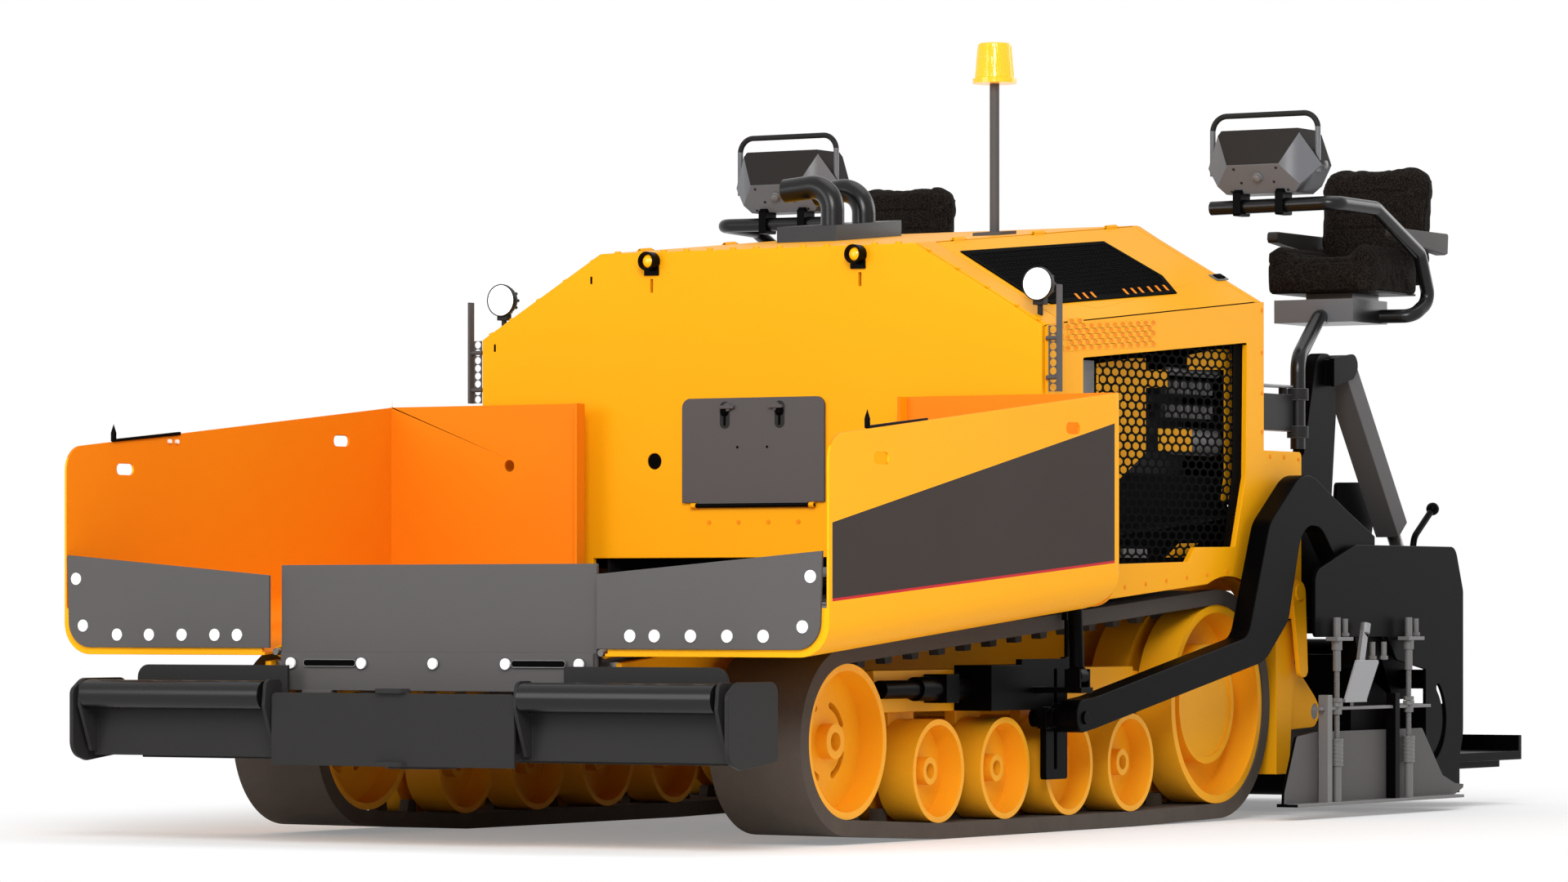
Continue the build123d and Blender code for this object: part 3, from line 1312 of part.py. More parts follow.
tower = plate_xz(
    [(inner_frame_x - 10, 690), (inner_frame_x + 20, 1060, 20), (inner_frame_x - 15, 1296, 20),
     (inner_frame_x - 207, 1300, 20),
     (inner_frame_x - 350, 1190, 20), (inner_frame_x - 220, 690)],
    screed_half_width - 170, screed_half_width - 152,
)
slide_blocks = block(screed_rear_x - 5, slide_tube_x - 65, screed_half_width - 180, frame_inner_face_y,
                     slide_tube_zs[0] - 58, slide_tube_zs[-1] + 58)
arm_link = block(screed_front_x - 60, screed_front_x - seat_gap, screed_half_width - 2, arm_outer_y, 600,
                 1000)
lever_y = screed_half_width - 2
lever_foot_x = extension_rear_x + 190
lever = bent_tube([(lever_foot_x, lever_y, 985), (lever_foot_x - 30, lever_y, 1085),
                   (lever_foot_x - 190, lever_y, 1190)],
                  60, 13)
lever += Pos(lever_foot_x - 202, lever_y, 1198) * Sphere(26)
half_screed = side_frame + inner_frame + tower + slide_blocks + arm_link + lever
for z in slide_tube_zs:
    half_screed -= rod((slide_tube_x, screed_half_width - 220, z), (slide_tube_x, screed_half_width + 80, z),
                       slide_tube_radius + slide_clearance)
screed = screed + half_screed + right_hand(half_screed)
keep("screed_frame", screed)

# Screed extensions: box, slide tubes, end plate and walkway
extension_top_z = screed_bottom_z + extension_height
extension = plate_xz(
    [(extension_front_x, extension_top_z), (extension_front_x, screed_bottom_z + 125),
     (extension_front_x - 50, screed_bottom_z, 50), (extension_rear_x, screed_bottom_z),
     (extension_rear_x, extension_top_z)],
    extension_inner_y, extension_end_y,
)
for z in slide_tube_zs:
    extension += rod((slide_tube_x, extension_inner_y + 10, z), (slide_tube_x, extension_end_y, z),
                     slide_tube_radius)
extension += block(slide_tube_x - 60, slide_tube_x + 30, extension_inner_y, extension_inner_y + 40,
                   extension_top_z - 20,
                   slide_tube_zs[-1] + 50)
end_plate = plate_xz(
    [
        (screed_front_x + 595, 690, 20), (screed_front_x + 595, 940, 60), (screed_front_x + 235, 1045, 60),
        (extension_rear_x + 70, 1045, 60), (extension_rear_x - 3, 870, 60), (extension_rear_x - 3, 300, 150),
        (extension_rear_x + 80, screed_bottom_z + 15, 60), (extension_front_x, screed_bottom_z + 15),
        (extension_front_x, 560),
        (screed_front_x - 125, 600, 40), (screed_front_x - 45, 690, 40),
    ],
    extension_end_y, extension_end_y + end_plate_thickness,
)
slot_arc = ThreePointArc((extension_rear_x + 232, 485), (extension_rear_x + 176, 360),
                         (extension_rear_x + 302, 205))
slot_face = Pos(0, extension_end_y - 10, 0) * (Plane.XZ * SlotArc(slot_arc, 34))
end_plate -= extrude(slot_face, amount=end_plate_thickness + 20, dir=(0, 1, 0))
walkway_front_x = extension_rear_x - 40
walkway_rear_x = walkway_front_x - walkway_length
walkway_inner_y = extension_inner_y + 8
walkway_outer_y = extension_end_y - 81
walkway = block(walkway_rear_x, walkway_front_x, walkway_inner_y, walkway_outer_y, 180, 216)
walkway += block(walkway_rear_x, walkway_rear_x + 30, walkway_inner_y, walkway_outer_y, 180, 280)
for y in (walkway_inner_y + 100, (walkway_inner_y + walkway_outer_y) / 2, walkway_outer_y - 102):
    walkway += block(walkway_rear_x + 80, extension_rear_x + 10, y, y + 40, 150, 185)
extension = extension + end_plate + walkway
pair("screed_extension", extension)

# End gates: foot, face plate, jack rods and guide posts
gate_y = extension_end_y + end_plate_thickness + seat_gap
gate_thickness = 12
gate_foot_z = 50
gate_front_x = screed_front_x + 886
gate_rear_x = extension_rear_x + 22
gate = plate_xz(
    [(gate_front_x, 62), (gate_front_x - 3, 105), (gate_front_x - 107, 315, 20), (gate_front_x - 271, 330),
     (gate_rear_x + 388, 330, 20), (gate_rear_x + 198, 140), (gate_rear_x + 78, 105), (gate_rear_x, 100),
     (gate_rear_x + 3, 86), (gate_rear_x + 78, 62, 20)],
    gate_y, gate_y + gate_thickness,
)
gate += block(gate_rear_x + 98, gate_front_x - 21, gate_y - 30, gate_y + 60, gate_foot_z, 62)
gate += block(gate_rear_x + 376, gate_front_x - 250, gate_y + 4, gate_y + 44, 412, 424)
jack_y = gate_y + 40
jack_xs = [screed_front_x + 490, screed_front_x - 150]
jack_steps = [
    # low z, high z, radius
    (56, 200, 17),
    (200, 300, 23),
    (300, 560, 9),
    (560, 640, 15),
    (640, 690, 20),
    (690, 765, 14),
]
for x in jack_xs:
    for z_low, z_high, radius in jack_steps:
        gate += rod((x, jack_y, z_low), (x, jack_y, z_high), radius)
    gate += block(x - 100, x + 40, gate_y + 12, gate_y + 62, 676, 690)
    gate += block(x - 32, x + 32, jack_y - 10, jack_y + 10, 424, 440)
guide_y = gate_y + 34
guide_xs = [screed_front_x + 578, screed_front_x - 21]
for x in guide_xs:
    gate += block(x - 20, x + 20, guide_y - 20, guide_y + 20, 56, 470)
stop_y = guide_y + 20 + seat_gap
stop_plate = plate_xz(
    [(screed_front_x + 444, 452), (screed_front_x + 344, 602, 8), (screed_front_x + 142, 600, 8),
     (screed_front_x + 254, 451)],
    stop_y - 8, stop_y,
)
stop_plate += block(screed_front_x + 254, screed_front_x + 444, stop_y - 34, stop_y, 440, 453)
stop_plate += plate_xz([(screed_front_x + 310, 590), (screed_front_x + 270, 720, 10),
                        (screed_front_x + 226, 715, 10),
                        (screed_front_x + 262, 590)], stop_y - 22, stop_y - 6)
stop_plate += rod((screed_front_x + 248, stop_y - 14, 705), (screed_front_x + 238, stop_y - 14, 742), 20)
gate += stop_plate + block(screed_front_x + 330, screed_front_x + 360, gate_y + 4, stop_y - 20, 412, 445)
pair("end_gate", gate)

# Operator stations: post, pedestal, seat base and the tube that carries the console
seat_x = post_x - 600
seat_y = station_y + 15
pedestal = bent_tube([(post_x, post_y, 1412), (post_x, post_y, 1760), (post_x - 300, station_y + 60, 1935),
                      (post_x - 380, station_y + 40, 1935)], 90, post_radius)
pedestal += block(seat_x - 40, seat_x + 270, seat_y - 165, seat_y + 175, 1915, 2005)
pedestal += block(seat_x - 120, seat_x + 120, seat_y - 100, seat_y + 100, 2000, seat_base_z)
tube_x = console_x + 60
tube_z = 2345
tube_radius = 27
tube_bend = 55
tube_outer_y = station_y + 330
console_tube = bent_tube(
    [(tube_x, station_y - 220, tube_z), (tube_x, tube_outer_y - 25, tube_z + 5),
     (tube_x - 310, tube_outer_y, tube_z),
     (seat_x - 40, tube_outer_y, 2190), (seat_x - 130, tube_outer_y, 2010),
     (seat_x - 20, tube_outer_y - 20, 1945),
     (seat_x + 20, station_y + 130, 1945)],
    tube_bend, tube_radius,
)
station = pedestal + console_tube
pair("station_frame", station)

# Console head: faceted box with a grab hoop
head_table = [
    # z, length, width
    (2395, 150, 300),
    (2500, 300, 490),
    (2640, 180, 330),
]
head = loft([Pos(0, 0, z) * RectangleRounded(length, width, 4) for z, length, width in head_table],
            ruled=True)
head = Pos(console_x, station_y, 0) * head
hoop_x = console_x + 40
hoop_half = 225
hoop = bent_tube([(hoop_x, station_y - hoop_half, 2470), (hoop_x, station_y - hoop_half, 2700),
                  (hoop_x, station_y + hoop_half, 2700), (hoop_x, station_y + hoop_half, 2470)], 60, 11)
console = head + hoop
for y in (station_y - 110, station_y + 70):
    console += plate_xz([(tube_x - 45, tube_z - 35, 8), (tube_x + 40, tube_z - 35, 8),
                         (tube_x + 40, tube_z + 55, 8),
                         (tube_x - 10, tube_z + 85), (tube_x - 45, tube_z + 85)], y, y + 34)
console -= bent_tube([(tube_x, station_y - 230, tube_z), (tube_x, tube_outer_y - 25, tube_z + 5),
                      (tube_x - 310, tube_outer_y, tube_z)], tube_bend, tube_radius + seat_gap)
pair("console", console)

# Seats: cushion, back and armrests
seat = block(seat_x - 250, seat_x + 250, seat_y - 240, seat_y + 240, seat_base_z + seat_gap, 2185)
seat += plate_xz([(seat_x - 230, 2060, 40), (seat_x - 290, 2570, 50), (seat_x - 400, 2570, 50),
                  (seat_x - 350, 2060, 30)],
                 seat_y - 240, seat_y + 240)
for y in (seat_y - 281, seat_y + 233):
    seat += block(seat_x - 240, seat_x + 220, y, y + 48, 2230, 2285)
seat += block(seat_x - 340, seat_x - 220, seat_y - 281, seat_y + 281, 2200, 2285)
pair("seat", seat)

# Station brackets: arm from the hood rear wall with two collars round the post
bracket_inner_y = post_y - 65
bracket_outer_y = post_y - 5
bracket = block(post_x - 20, hood_rear_x, bracket_inner_y, bracket_outer_y, 1480, 1620)
for z in (1455, 1600):
    bracket += rod((post_x, post_y, z), (post_x, post_y, z + 45), post_radius + 13)
bracket += plate_xy([(hood_rear_x, bracket_inner_y - 60), (post_x - 60, bracket_inner_y, 40),
                     (post_x - 60, bracket_outer_y),
                     (hood_rear_x, bracket_outer_y)], 1648, 1656)
bracket += rod((post_x + 60, post_y - 35, 1610), (post_x + 60, post_y - 35, 1650), 16)
bracket -= rod((post_x, post_y, 1400), (post_x, post_y, 1700), post_radius + pin_clearance)
keep("station_brackets", bracket, right_hand(bracket))


# Lamps, markers, beacon and exhaust
def slant_z(x, y):
    """Height of the slanting side's outer face."""
    return eave_front_z + hood_lift(x) + slant_fall * (hood_half_width - y)


lamp_x = hood_front_x - 76
lamp_y = hood_half_width - 58
lamp_z = slant_z(lamp_x, lamp_y) + 110
lamp_radius = 56
headlight = rod((lamp_x - 37, lamp_y, lamp_z), (lamp_x + 38, lamp_y, lamp_z), lamp_radius)
headlight += plate_yz([(lamp_y - 12, slant_z(lamp_x - 15, lamp_y - 12) + seat_gap),
                       (lamp_y + 12, slant_z(lamp_x - 15, lamp_y + 12) + seat_gap),
                       (lamp_y + 12, lamp_z - 49),
                       (lamp_y - 12, lamp_z - 49)], lamp_x - 15, lamp_x + 15)
keep("headlights", headlight, right_hand(headlight))
amber_z = roof_front_z - 34
amber = rod((hood_front_x + seat_gap, lamp_slit_y - 4, amber_z),
            (hood_front_x + 22, lamp_slit_y - 4, amber_z), 26)
keep("hood_lamps", amber, right_hand(amber))
marker_x = hood_front_x - 16
marker_y = hood_half_width + 47
marker = block(marker_x - 15, marker_x + 15, marker_y, marker_y + 10, 1570, 1950)
for z in (1620, 1760):
    marker += rod((marker_x, hood_half_width, z), (marker_x, marker_y + 2, z), 8)
keep("marker_posts", marker, right_hand(marker))
beacon_x = hood_front_x - 906
beacon_y = 500
foot_half = 60
beacon_foot = 12
lens_z = 2762


def roof_pad(x_start, x_end, y_low, y_high, height):
    """A pad seated on the sloping roof."""
    low = roof_front_z + seat_gap
    return hood_bar([(y_low, low), (y_high, low), (y_high, low + height), (y_low, low + height)], x_start,
                    x_end)


mast = rod((beacon_x, beacon_y, roof_front_z + hood_lift(beacon_x) + 6), (beacon_x, beacon_y, lens_z), 18)
mast += roof_pad(beacon_x + foot_half, beacon_x - foot_half, beacon_y - foot_half, beacon_y + foot_half,
                 beacon_foot)
keep("beacon_mast", mast)
lens = Pos(beacon_x, beacon_y, lens_z + seat_gap) * Cone(82, 62, 150,
                                                         align=(Align.CENTER, Align.CENTER, Align.MIN))
keep("beacon_lens", lens)
stack_y = -260
stack_base_x = hood_front_x - 873
exhaust = roof_pad(stack_base_x, stack_base_x - 500, stack_y - 170, stack_y + 90, 60)
for x in (stack_base_x - 130, stack_base_x - 365):
    exhaust += bent_tube([(x, stack_y, roof_front_z + hood_lift(x) + 40), (x, stack_y, 2420),
                          (x, stack_y - 210, 2400)], 90, 45)
keep("exhaust_pipes", exhaust)
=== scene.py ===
import bmesh
import bpy
import json
import math
from contextlib import contextmanager
from mathutils import Matrix, Vector


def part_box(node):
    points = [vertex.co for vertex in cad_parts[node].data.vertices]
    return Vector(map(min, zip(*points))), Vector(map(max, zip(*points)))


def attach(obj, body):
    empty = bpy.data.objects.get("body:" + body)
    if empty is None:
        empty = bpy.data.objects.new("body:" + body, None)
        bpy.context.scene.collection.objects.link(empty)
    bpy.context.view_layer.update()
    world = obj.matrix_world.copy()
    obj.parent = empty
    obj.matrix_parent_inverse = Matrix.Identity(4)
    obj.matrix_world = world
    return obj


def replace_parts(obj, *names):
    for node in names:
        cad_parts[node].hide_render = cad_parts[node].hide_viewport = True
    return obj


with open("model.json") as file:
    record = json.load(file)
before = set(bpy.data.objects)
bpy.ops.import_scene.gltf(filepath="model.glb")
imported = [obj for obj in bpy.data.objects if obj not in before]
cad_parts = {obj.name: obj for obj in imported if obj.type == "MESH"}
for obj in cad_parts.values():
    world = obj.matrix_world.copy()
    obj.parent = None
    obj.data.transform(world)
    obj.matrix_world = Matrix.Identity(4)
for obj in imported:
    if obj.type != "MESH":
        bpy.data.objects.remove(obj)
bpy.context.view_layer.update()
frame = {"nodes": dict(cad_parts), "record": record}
nodes = frame["nodes"]
bodyNodes = frame["record"]["behaviour"]["bodies"]
nodeBody = {name: body for body, members in bodyNodes.items() for name in members}
sides = ((1, "left"), (-1, "right"))
ahead, outward, upward = (1, 0, 0), (0, 1, 0), (0, 0, 1)
print("frame loaded", len(nodes), "nodes")


# node trees

def fillInputs(tree, node, inputs):  # values are set, and nodes or their outputs are linked
    for key, value in inputs.items():
        for source in value if isinstance(value, list) else [value]:
            if isinstance(source, bpy.types.Node):
                source = source.outputs[0]
            if isinstance(source, bpy.types.NodeSocket):
                tree.links.new(source, node.inputs[key])
            else:
                node.inputs[key].default_value = source
    return node


def addNode(tree, kind, inputs=None, **settings):
    node = tree.nodes.new(kind)
    for key, value in settings.items():
        setattr(node, key, value)
    return fillInputs(tree, node, inputs or {})


def addMath(tree, operation, *terms, clamp=False):
    return addNode(tree, "ShaderNodeMath", dict(enumerate(terms)), operation=operation, use_clamp=clamp)


def mixColors(tree, share, first, second):
    mixed = addNode(tree, "ShaderNodeMix", data_type="RGBA")
    return fillInputs(tree, mixed, {"Factor": share, 6: first, 7: second}).outputs[2]


socketKinds = {tuple: "Color", float: "Float", int: "Int"}


def startGroup(name, kind, inputs, outputs):  # an input given as text is a kind of socket without a value
    group = bpy.data.node_groups.new(name, kind)
    for label, value in inputs.items():
        valued = not isinstance(value, str)
        word = socketKinds[type(value)] if valued else value
        socket = group.interface.new_socket(label, in_out="INPUT", socket_type=f"NodeSocket{word}")
        if valued:
            socket.default_value = value
    for label, word in outputs.items():
        group.interface.new_socket(label, in_out="OUTPUT", socket_type=f"NodeSocket{word}")
    return group, addNode(group, "NodeGroupInput").outputs, addNode(group, "NodeGroupOutput")


def makeSurfaceGroup():  # cloudy colour, fine grain and dust that gathers near the ground
    group, start, end = startGroup("paintedSurface", "ShaderNodeTree", {
        "Base": (1, 1, 1, 1), "Shade": (0, 0, 0, 1), "Cloud Size": 1.6, "Cloud": 0.15, "Grain Size": 900.0,
        "Grain": 0.05, "Rough": 0.4, "Dust": 0.1,
    }, {"Color": "Color", "Roughness": "Float", "Normal": "Vector"})
    dustColor = (0.30, 0.25, 0.20, 1)
    place = addNode(group, "ShaderNodeTexCoord").outputs["Object"]
    cloud = addNode(group, "ShaderNodeTexNoise",
                    {"Vector": place, "Scale": start["Cloud Size"], "Detail": 4.0, "Roughness": 0.55})
    tint = mixColors(group, addMath(group, "MULTIPLY", cloud, start["Cloud"]), start["Base"], start["Shade"])
    height = addNode(group, "ShaderNodeSeparateXYZ", {0: place}).outputs["Z"]
    low = addNode(group, "ShaderNodeMapRange", {"Value": height, "From Min": 0.9, "From Max": 0.0,
                                                "To Min": 0.0, "To Max": 1.0}, clamp=True)
    speck = addNode(group, "ShaderNodeTexNoise",
                    {"Vector": place, "Scale": 9.0, "Detail": 8.0, "Roughness": 0.7})
    dust = addMath(group, "MULTIPLY", addMath(group, "MULTIPLY", low, speck), start["Dust"], clamp=True)
    grain = addNode(group, "ShaderNodeTexNoise",
                    {"Vector": place, "Scale": start["Grain Size"], "Detail": 2.0})
    rough = addMath(group, "MULTIPLY_ADD", cloud, 0.12, start["Rough"], clamp=True)
    worn = addMath(group, "MULTIPLY_ADD", dust, 0.5, rough, clamp=True)
    bump = addNode(group, "ShaderNodeBump", {"Strength": start["Grain"], "Height": grain, "Distance": 0.002})
    fillInputs(group, end, {"Color": mixColors(group, dust, tint, dustColor), "Roughness": worn,
                            "Normal": bump})
    return group


def makeClothGroup():  # crossed threads and a mottled pile
    group, start, end = startGroup("wovenCloth", "ShaderNodeTree", {
        "Light": (1, 1, 1, 1), "Dark": (0, 0, 0, 1), "Thread": 420.0, "Depth": 0.4,
    }, {"Color": "Color", "Normal": "Vector"})
    place = addNode(group, "ShaderNodeTexCoord").outputs["Object"]
    mottle = addNode(group, "ShaderNodeTexNoise", {"Vector": place, "Scale": 170.0, "Detail": 3.0})
    weave = addNode(group, "ShaderNodeTexVoronoi",
                    {"Vector": place, "Scale": start["Thread"], "Randomness": 0.35})
    ramp = addNode(group, "ShaderNodeValToRGB", {"Fac": mottle})
    ramp.color_ramp.elements[0].position = 0.42
    ramp.color_ramp.elements[1].position = 0.62
    bump = addNode(group, "ShaderNodeBump",
                   {"Strength": start["Depth"], "Height": weave, "Distance": 0.0015})
    fillInputs(group, end, {"Color": mixColors(group, ramp, start["Dark"], start["Light"]), "Normal": bump})
    return group


# finishes

surfaceGroup = makeSurfaceGroup()
clothGroup = makeClothGroup()


def newMaterial(name):
    material = bpy.data.materials.new(name)
    material.use_nodes = True
    return material, material.node_tree, material.node_tree.nodes["Principled BSDF"]


def painted(name, base, shade, rough, grainSize=900, grain=0.05, cloud=0.15, cloudSize=1.6, dust=0.1,
            metallic=0.0, specular=0.5):
    material, tree, shader = newMaterial(name)
    surface = addNode(tree, "ShaderNodeGroup", node_tree=surfaceGroup)
    fillInputs(tree, surface, {"Base": (*base, 1), "Shade": (*shade, 1), "Cloud Size": cloudSize,
                               "Cloud": cloud, "Grain Size": grainSize, "Grain": grain, "Rough": rough,
                               "Dust": dust})
    fillInputs(tree, shader, {key: surface.outputs[label] for key, label in (
        ("Base Color", "Color"), ("Roughness", "Roughness"), ("Normal", "Normal"))})
    fillInputs(tree, shader, {"Metallic": metallic, "Specular IOR Level": specular})
    return material


def woven(name, light, dark, thread, depth, rough, specular):
    material, tree, shader = newMaterial(name)
    cloth = addNode(tree, "ShaderNodeGroup", node_tree=clothGroup)
    fillInputs(tree, cloth, {"Light": (*light, 1), "Dark": (*dark, 1), "Thread": thread, "Depth": depth})
    fillInputs(tree, shader, {"Base Color": cloth.outputs["Color"], "Normal": cloth.outputs["Normal"],
                              "Roughness": rough, "Specular IOR Level": specular})
    return material


def glowing(name, color, glow, rough):
    material, tree, shader = newMaterial(name)
    place = addNode(tree, "ShaderNodeTexCoord").outputs["Object"]
    ribs = addNode(tree, "ShaderNodeTexWave", {"Vector": place, "Scale": 60.0}).outputs["Fac"]
    bump = addNode(tree, "ShaderNodeBump", {"Strength": 0.15, "Distance": 0.002, "Height": ribs})
    fillInputs(tree, shader, {"Normal": bump, "Base Color": (*color, 1), "Roughness": rough,
                              "Emission Color": (*color, 1), "Emission Strength": glow})
    return material


finishTable = {
    # finish: the part's slot, and a material with its colour, cloud colour and roughness
    "orange": ("orange_paint", painted("machineOrange", (0.90, 0.395, 0.004), (0.87, 0.33, 0.003), 0.36,
                                       grain=0.02, cloud=0.35, cloudSize=0.7, dust=0.03, specular=0.07)),
    # hopper: a deeper orange for the wings' inside faces, painted shade of the hopper
    "hopper": ("orange_paint", painted("hopperShadeOrange", (0.78, 0.185, 0.006), (0.86, 0.27, 0.005), 0.42,
                                       grain=0.03, cloud=0.8, cloudSize=0.8, dust=0.04, specular=0.08)),
    "wheel": ("orange_paint", painted("wheelOrange", (0.95, 0.43, 0.004), (0.90, 0.33, 0.003), 0.40,
                                      cloud=0.4, cloudSize=2.5, dust=0.12, specular=0.2)),
    # shadeEdge: dark red-brown on narrow flanges and the arch's cut edge, painted shade of orange
    "shadeEdge": ("orange_paint", painted("shadedFlange", (0.30, 0.045, 0.004), (0.24, 0.03, 0.003), 0.5,
                                        grain=0.03, specular=0.1)),
    # bay: a brighter orange for the panels inside the hood, painted light
    "bay": ("orange_paint", painted("bayLitOrange", (1.0, 0.50, 0.012), (0.95, 0.34, 0.006), 0.5, grain=0.02,
                                    cloud=0.9, cloudSize=6, dust=0.0, specular=0.1)),
    # deep: a darker orange for slots, holes, the arch's inside and small bolts on the hood, painted shade
    "deep": ("orange_paint", painted("shadeOrange", (0.80, 0.20, 0.006), (0.86, 0.30, 0.004), 0.5, grain=0.03,
                                     cloud=0.9, cloudSize=5, specular=0.1)),
    "plate": ("grey_paint", painted("darkGreyPlate", (0.078, 0.073, 0.072), (0.066, 0.062, 0.061), 0.52,
                                    grainSize=600, grain=0.08, dust=0.06, specular=0.22)),
    "band": ("grey_paint", painted("bandBrown", (0.036, 0.026, 0.022), (0.030, 0.022, 0.019), 0.55,
                                   grain=0.02, dust=0.0, specular=0.12)),
    "stripe": ("orange_paint", painted("stripeRed", (0.50, 0.004, 0.012), (0.42, 0.004, 0.01), 0.4,
                                       grain=0.01, dust=0.0, specular=0.15)),
    "black": ("black_paint", painted("blackPaint", (0.0012, 0.0012, 0.0013), (0.0025, 0.0024, 0.0024), 0.30,
                                     grainSize=500, grain=0.02, dust=0.0, specular=0.03)),
    "gloss": ("black_paint", painted("blackGloss", (0.004, 0.004, 0.0042), (0.008, 0.0078, 0.0078), 0.20,
                                     grainSize=500, grain=0.02, dust=0.0, specular=0.3)),
    "satin": ("black_paint", painted("blackSatin", (0.019, 0.0187, 0.0185), (0.028, 0.0275, 0.027), 0.36,
                                     grainSize=500, grain=0.04, dust=0.02, specular=0.08)),
    "lightGrey": ("worn_steel", painted("machinedGrey", (0.28, 0.28, 0.29), (0.20, 0.20, 0.21), 0.35,
                                        grainSize=500, dust=0.02, specular=0.4)),
    "rubber": ("track_rubber", painted("trackRubber", (0.058, 0.047, 0.040), (0.075, 0.062, 0.054), 0.78,
                                       grainSize=260, grain=0.3, cloud=0.5, cloudSize=6, dust=0.22,
                                       specular=0.15)),
    "steel": ("worn_steel", painted("bareSteel", (0.42, 0.41, 0.40), (0.30, 0.29, 0.28), 0.26, grainSize=700,
                                    grain=0.08, metallic=0.9)),
    "worn": ("worn_steel", painted("wornSteel", (0.16, 0.155, 0.15), (0.24, 0.23, 0.22), 0.32, grainSize=300,
                                   grain=0.12, cloud=0.6, cloudSize=8, metallic=0.8, dust=0.2)),
    "zinc": ("worn_steel", painted("greyZinc", (0.150, 0.148, 0.146), (0.10, 0.098, 0.096), 0.38,
                                   grainSize=500, grain=0.06, cloud=0.5, cloudSize=9, specular=0.4)),
    "bolt": ("worn_steel", painted("whiteBolt", (0.90, 0.90, 0.89), (0.78, 0.78, 0.77), 0.3, grain=0.02,
                                   dust=0.0)),
    "console": ("grey_paint", painted("consoleGrey", (0.120, 0.124, 0.135), (0.15, 0.155, 0.165), 0.30,
                                      grain=0.03, dust=0.0, specular=0.3)),
    "consoleTop": ("grey_paint", painted("consoleMatte", (0.026, 0.023, 0.022), (0.036, 0.033, 0.031), 0.62,
                                         grainSize=420, grain=0.12, dust=0.0, specular=0.05)),
    # mesh: black for mesh, latches and borders, and for painted shade in slots, holes and openings
    "mesh": ("mesh_black", painted("meshBlackAndShade", (0.0015, 0.0015, 0.0015), (0.003, 0.003, 0.003), 0.7,
                                   grain=0.02, dust=0.0, specular=0.02)),
    # shadedInside: near black on the hood's inside faces, deck and walls, painted shade of its dark inside
    "shadedInside": ("mesh_black", painted("hoodInteriorShade", (0.006, 0.006, 0.006), (0.012, 0.012, 0.012), 0.9,
                                   grainSize=120, grain=0.5, dust=0.0, specular=0.05)),
    "engine": ("engine_grey", painted("engineGrey", (0.012, 0.012, 0.013), (0.035, 0.035, 0.037), 0.5,
                                      grain=0.2, cloud=0.8, cloudSize=7, specular=0.2)),
    "seat": ("seat_cover", woven("seatCloth", (0.022, 0.017, 0.013), (0.004, 0.003, 0.0028), 420, 0.5, 0.85,
                                 0.06)),
    "vinyl": ("seat_cover", painted("armrestVinyl", (0.028, 0.024, 0.022), (0.038, 0.033, 0.03), 0.5,
                                    grainSize=380, grain=0.25, dust=0.0, specular=0.3)),
    "amber": ("amber_lens", glowing("amberLens", (1.0, 0.40, 0.004), 0.42, 0.12)),
    "lampWhite": ("lamp_glass", glowing("lampWhite", (0.98, 0.98, 0.96), 1.1, 0.1)),
}
finish = {look: material for look, (slot, material) in finishTable.items()}
print("finishes ready", len(finish))


# pieces

def addPiece(name, mesh, look, body):
    piece = bpy.data.objects.new(name, mesh)
    bpy.context.scene.collection.objects.link(piece)
    if not mesh.materials:
        mesh.materials.append(finish[look])
    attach(piece, body)
    return piece


def bakeModifiers(piece):  # the modifiers are worked into the mesh
    bpy.context.view_layer.update()
    mesh = bpy.data.meshes.new_from_object(piece.evaluated_get(bpy.context.evaluated_depsgraph_get()))
    piece.modifiers.clear()
    old = piece.data
    piece.data = mesh
    if old.users == 0:
        bpy.data.meshes.remove(old)


def worked(piece, kind, **settings):
    modifier = piece.modifiers.new(kind.lower(), kind)
    for key, value in settings.items():
        setattr(modifier, key, value)
    bakeModifiers(piece)


@contextmanager
def editing(mesh):
    work = bmesh.new()
    work.from_mesh(mesh)
    yield work
    work.to_mesh(mesh)
    work.free()


def meshFrom(work, name):
    bmesh.ops.recalc_face_normals(work, faces=work.faces)
    mesh = bpy.data.meshes.new(name)
    work.to_mesh(mesh)
    work.free()
    return mesh


def flipToRight(mesh):
    mesh.transform(Matrix.Diagonal((1, -1, 1, 1)))
    mesh.flip_normals()


def neighbours(items):
    return list(zip(items, items[1:] + items[:1]))


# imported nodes, by finish: edge radius in metres, then the nodes that are dressed with it
softTable = [
    ("orange", 0.0025, "hood_front hood_sides hood_roof hood_rear hood_lid_left hood_lid_right"),
    ("orange", 0.0018, "wing_left wing_right"),
    ("orange", 0.003, "main_frame rear_columns"),
    ("wheel", 0.003, "track_frames"),
    ("plate", 0.0015, "hood_door"),
    ("plate", 0.002, "wing_flap_left wing_flap_right hopper_apron"),
    # lift barrels in dark grey: partly their colour, partly a painted highlight along them
    ("plate", 0.003, "lift_cylinder_barrels"),
    ("plate", 0.001, "marker_posts"),
    ("satin", 0.0025, "bumper_frame"),
    ("satin", 0.0018, "push_bar"),
    ("satin", 0.002, "station_brackets"),
    ("black", 0.0018, "tow_guides"),
    ("black", 0.004, "tow_arms"),
    ("black", 0.0025, "lift_posts screed_extension_left screed_extension_right"),
    ("black", 0.002, "screed_frame"),
    ("black", 0.0012, "end_gate_left end_gate_right"),
    ("black", 0.003, "auger_case"),
    ("console", 0.002, "console_left console_right"),
    ("worn", 0.001, "hopper_floor"),
    ("worn", 0.0, "slat_conveyors"),
    ("engine", 0.01, "engine_block"),
    ("shadedInside", 0.0015, "engine_deck"),
]
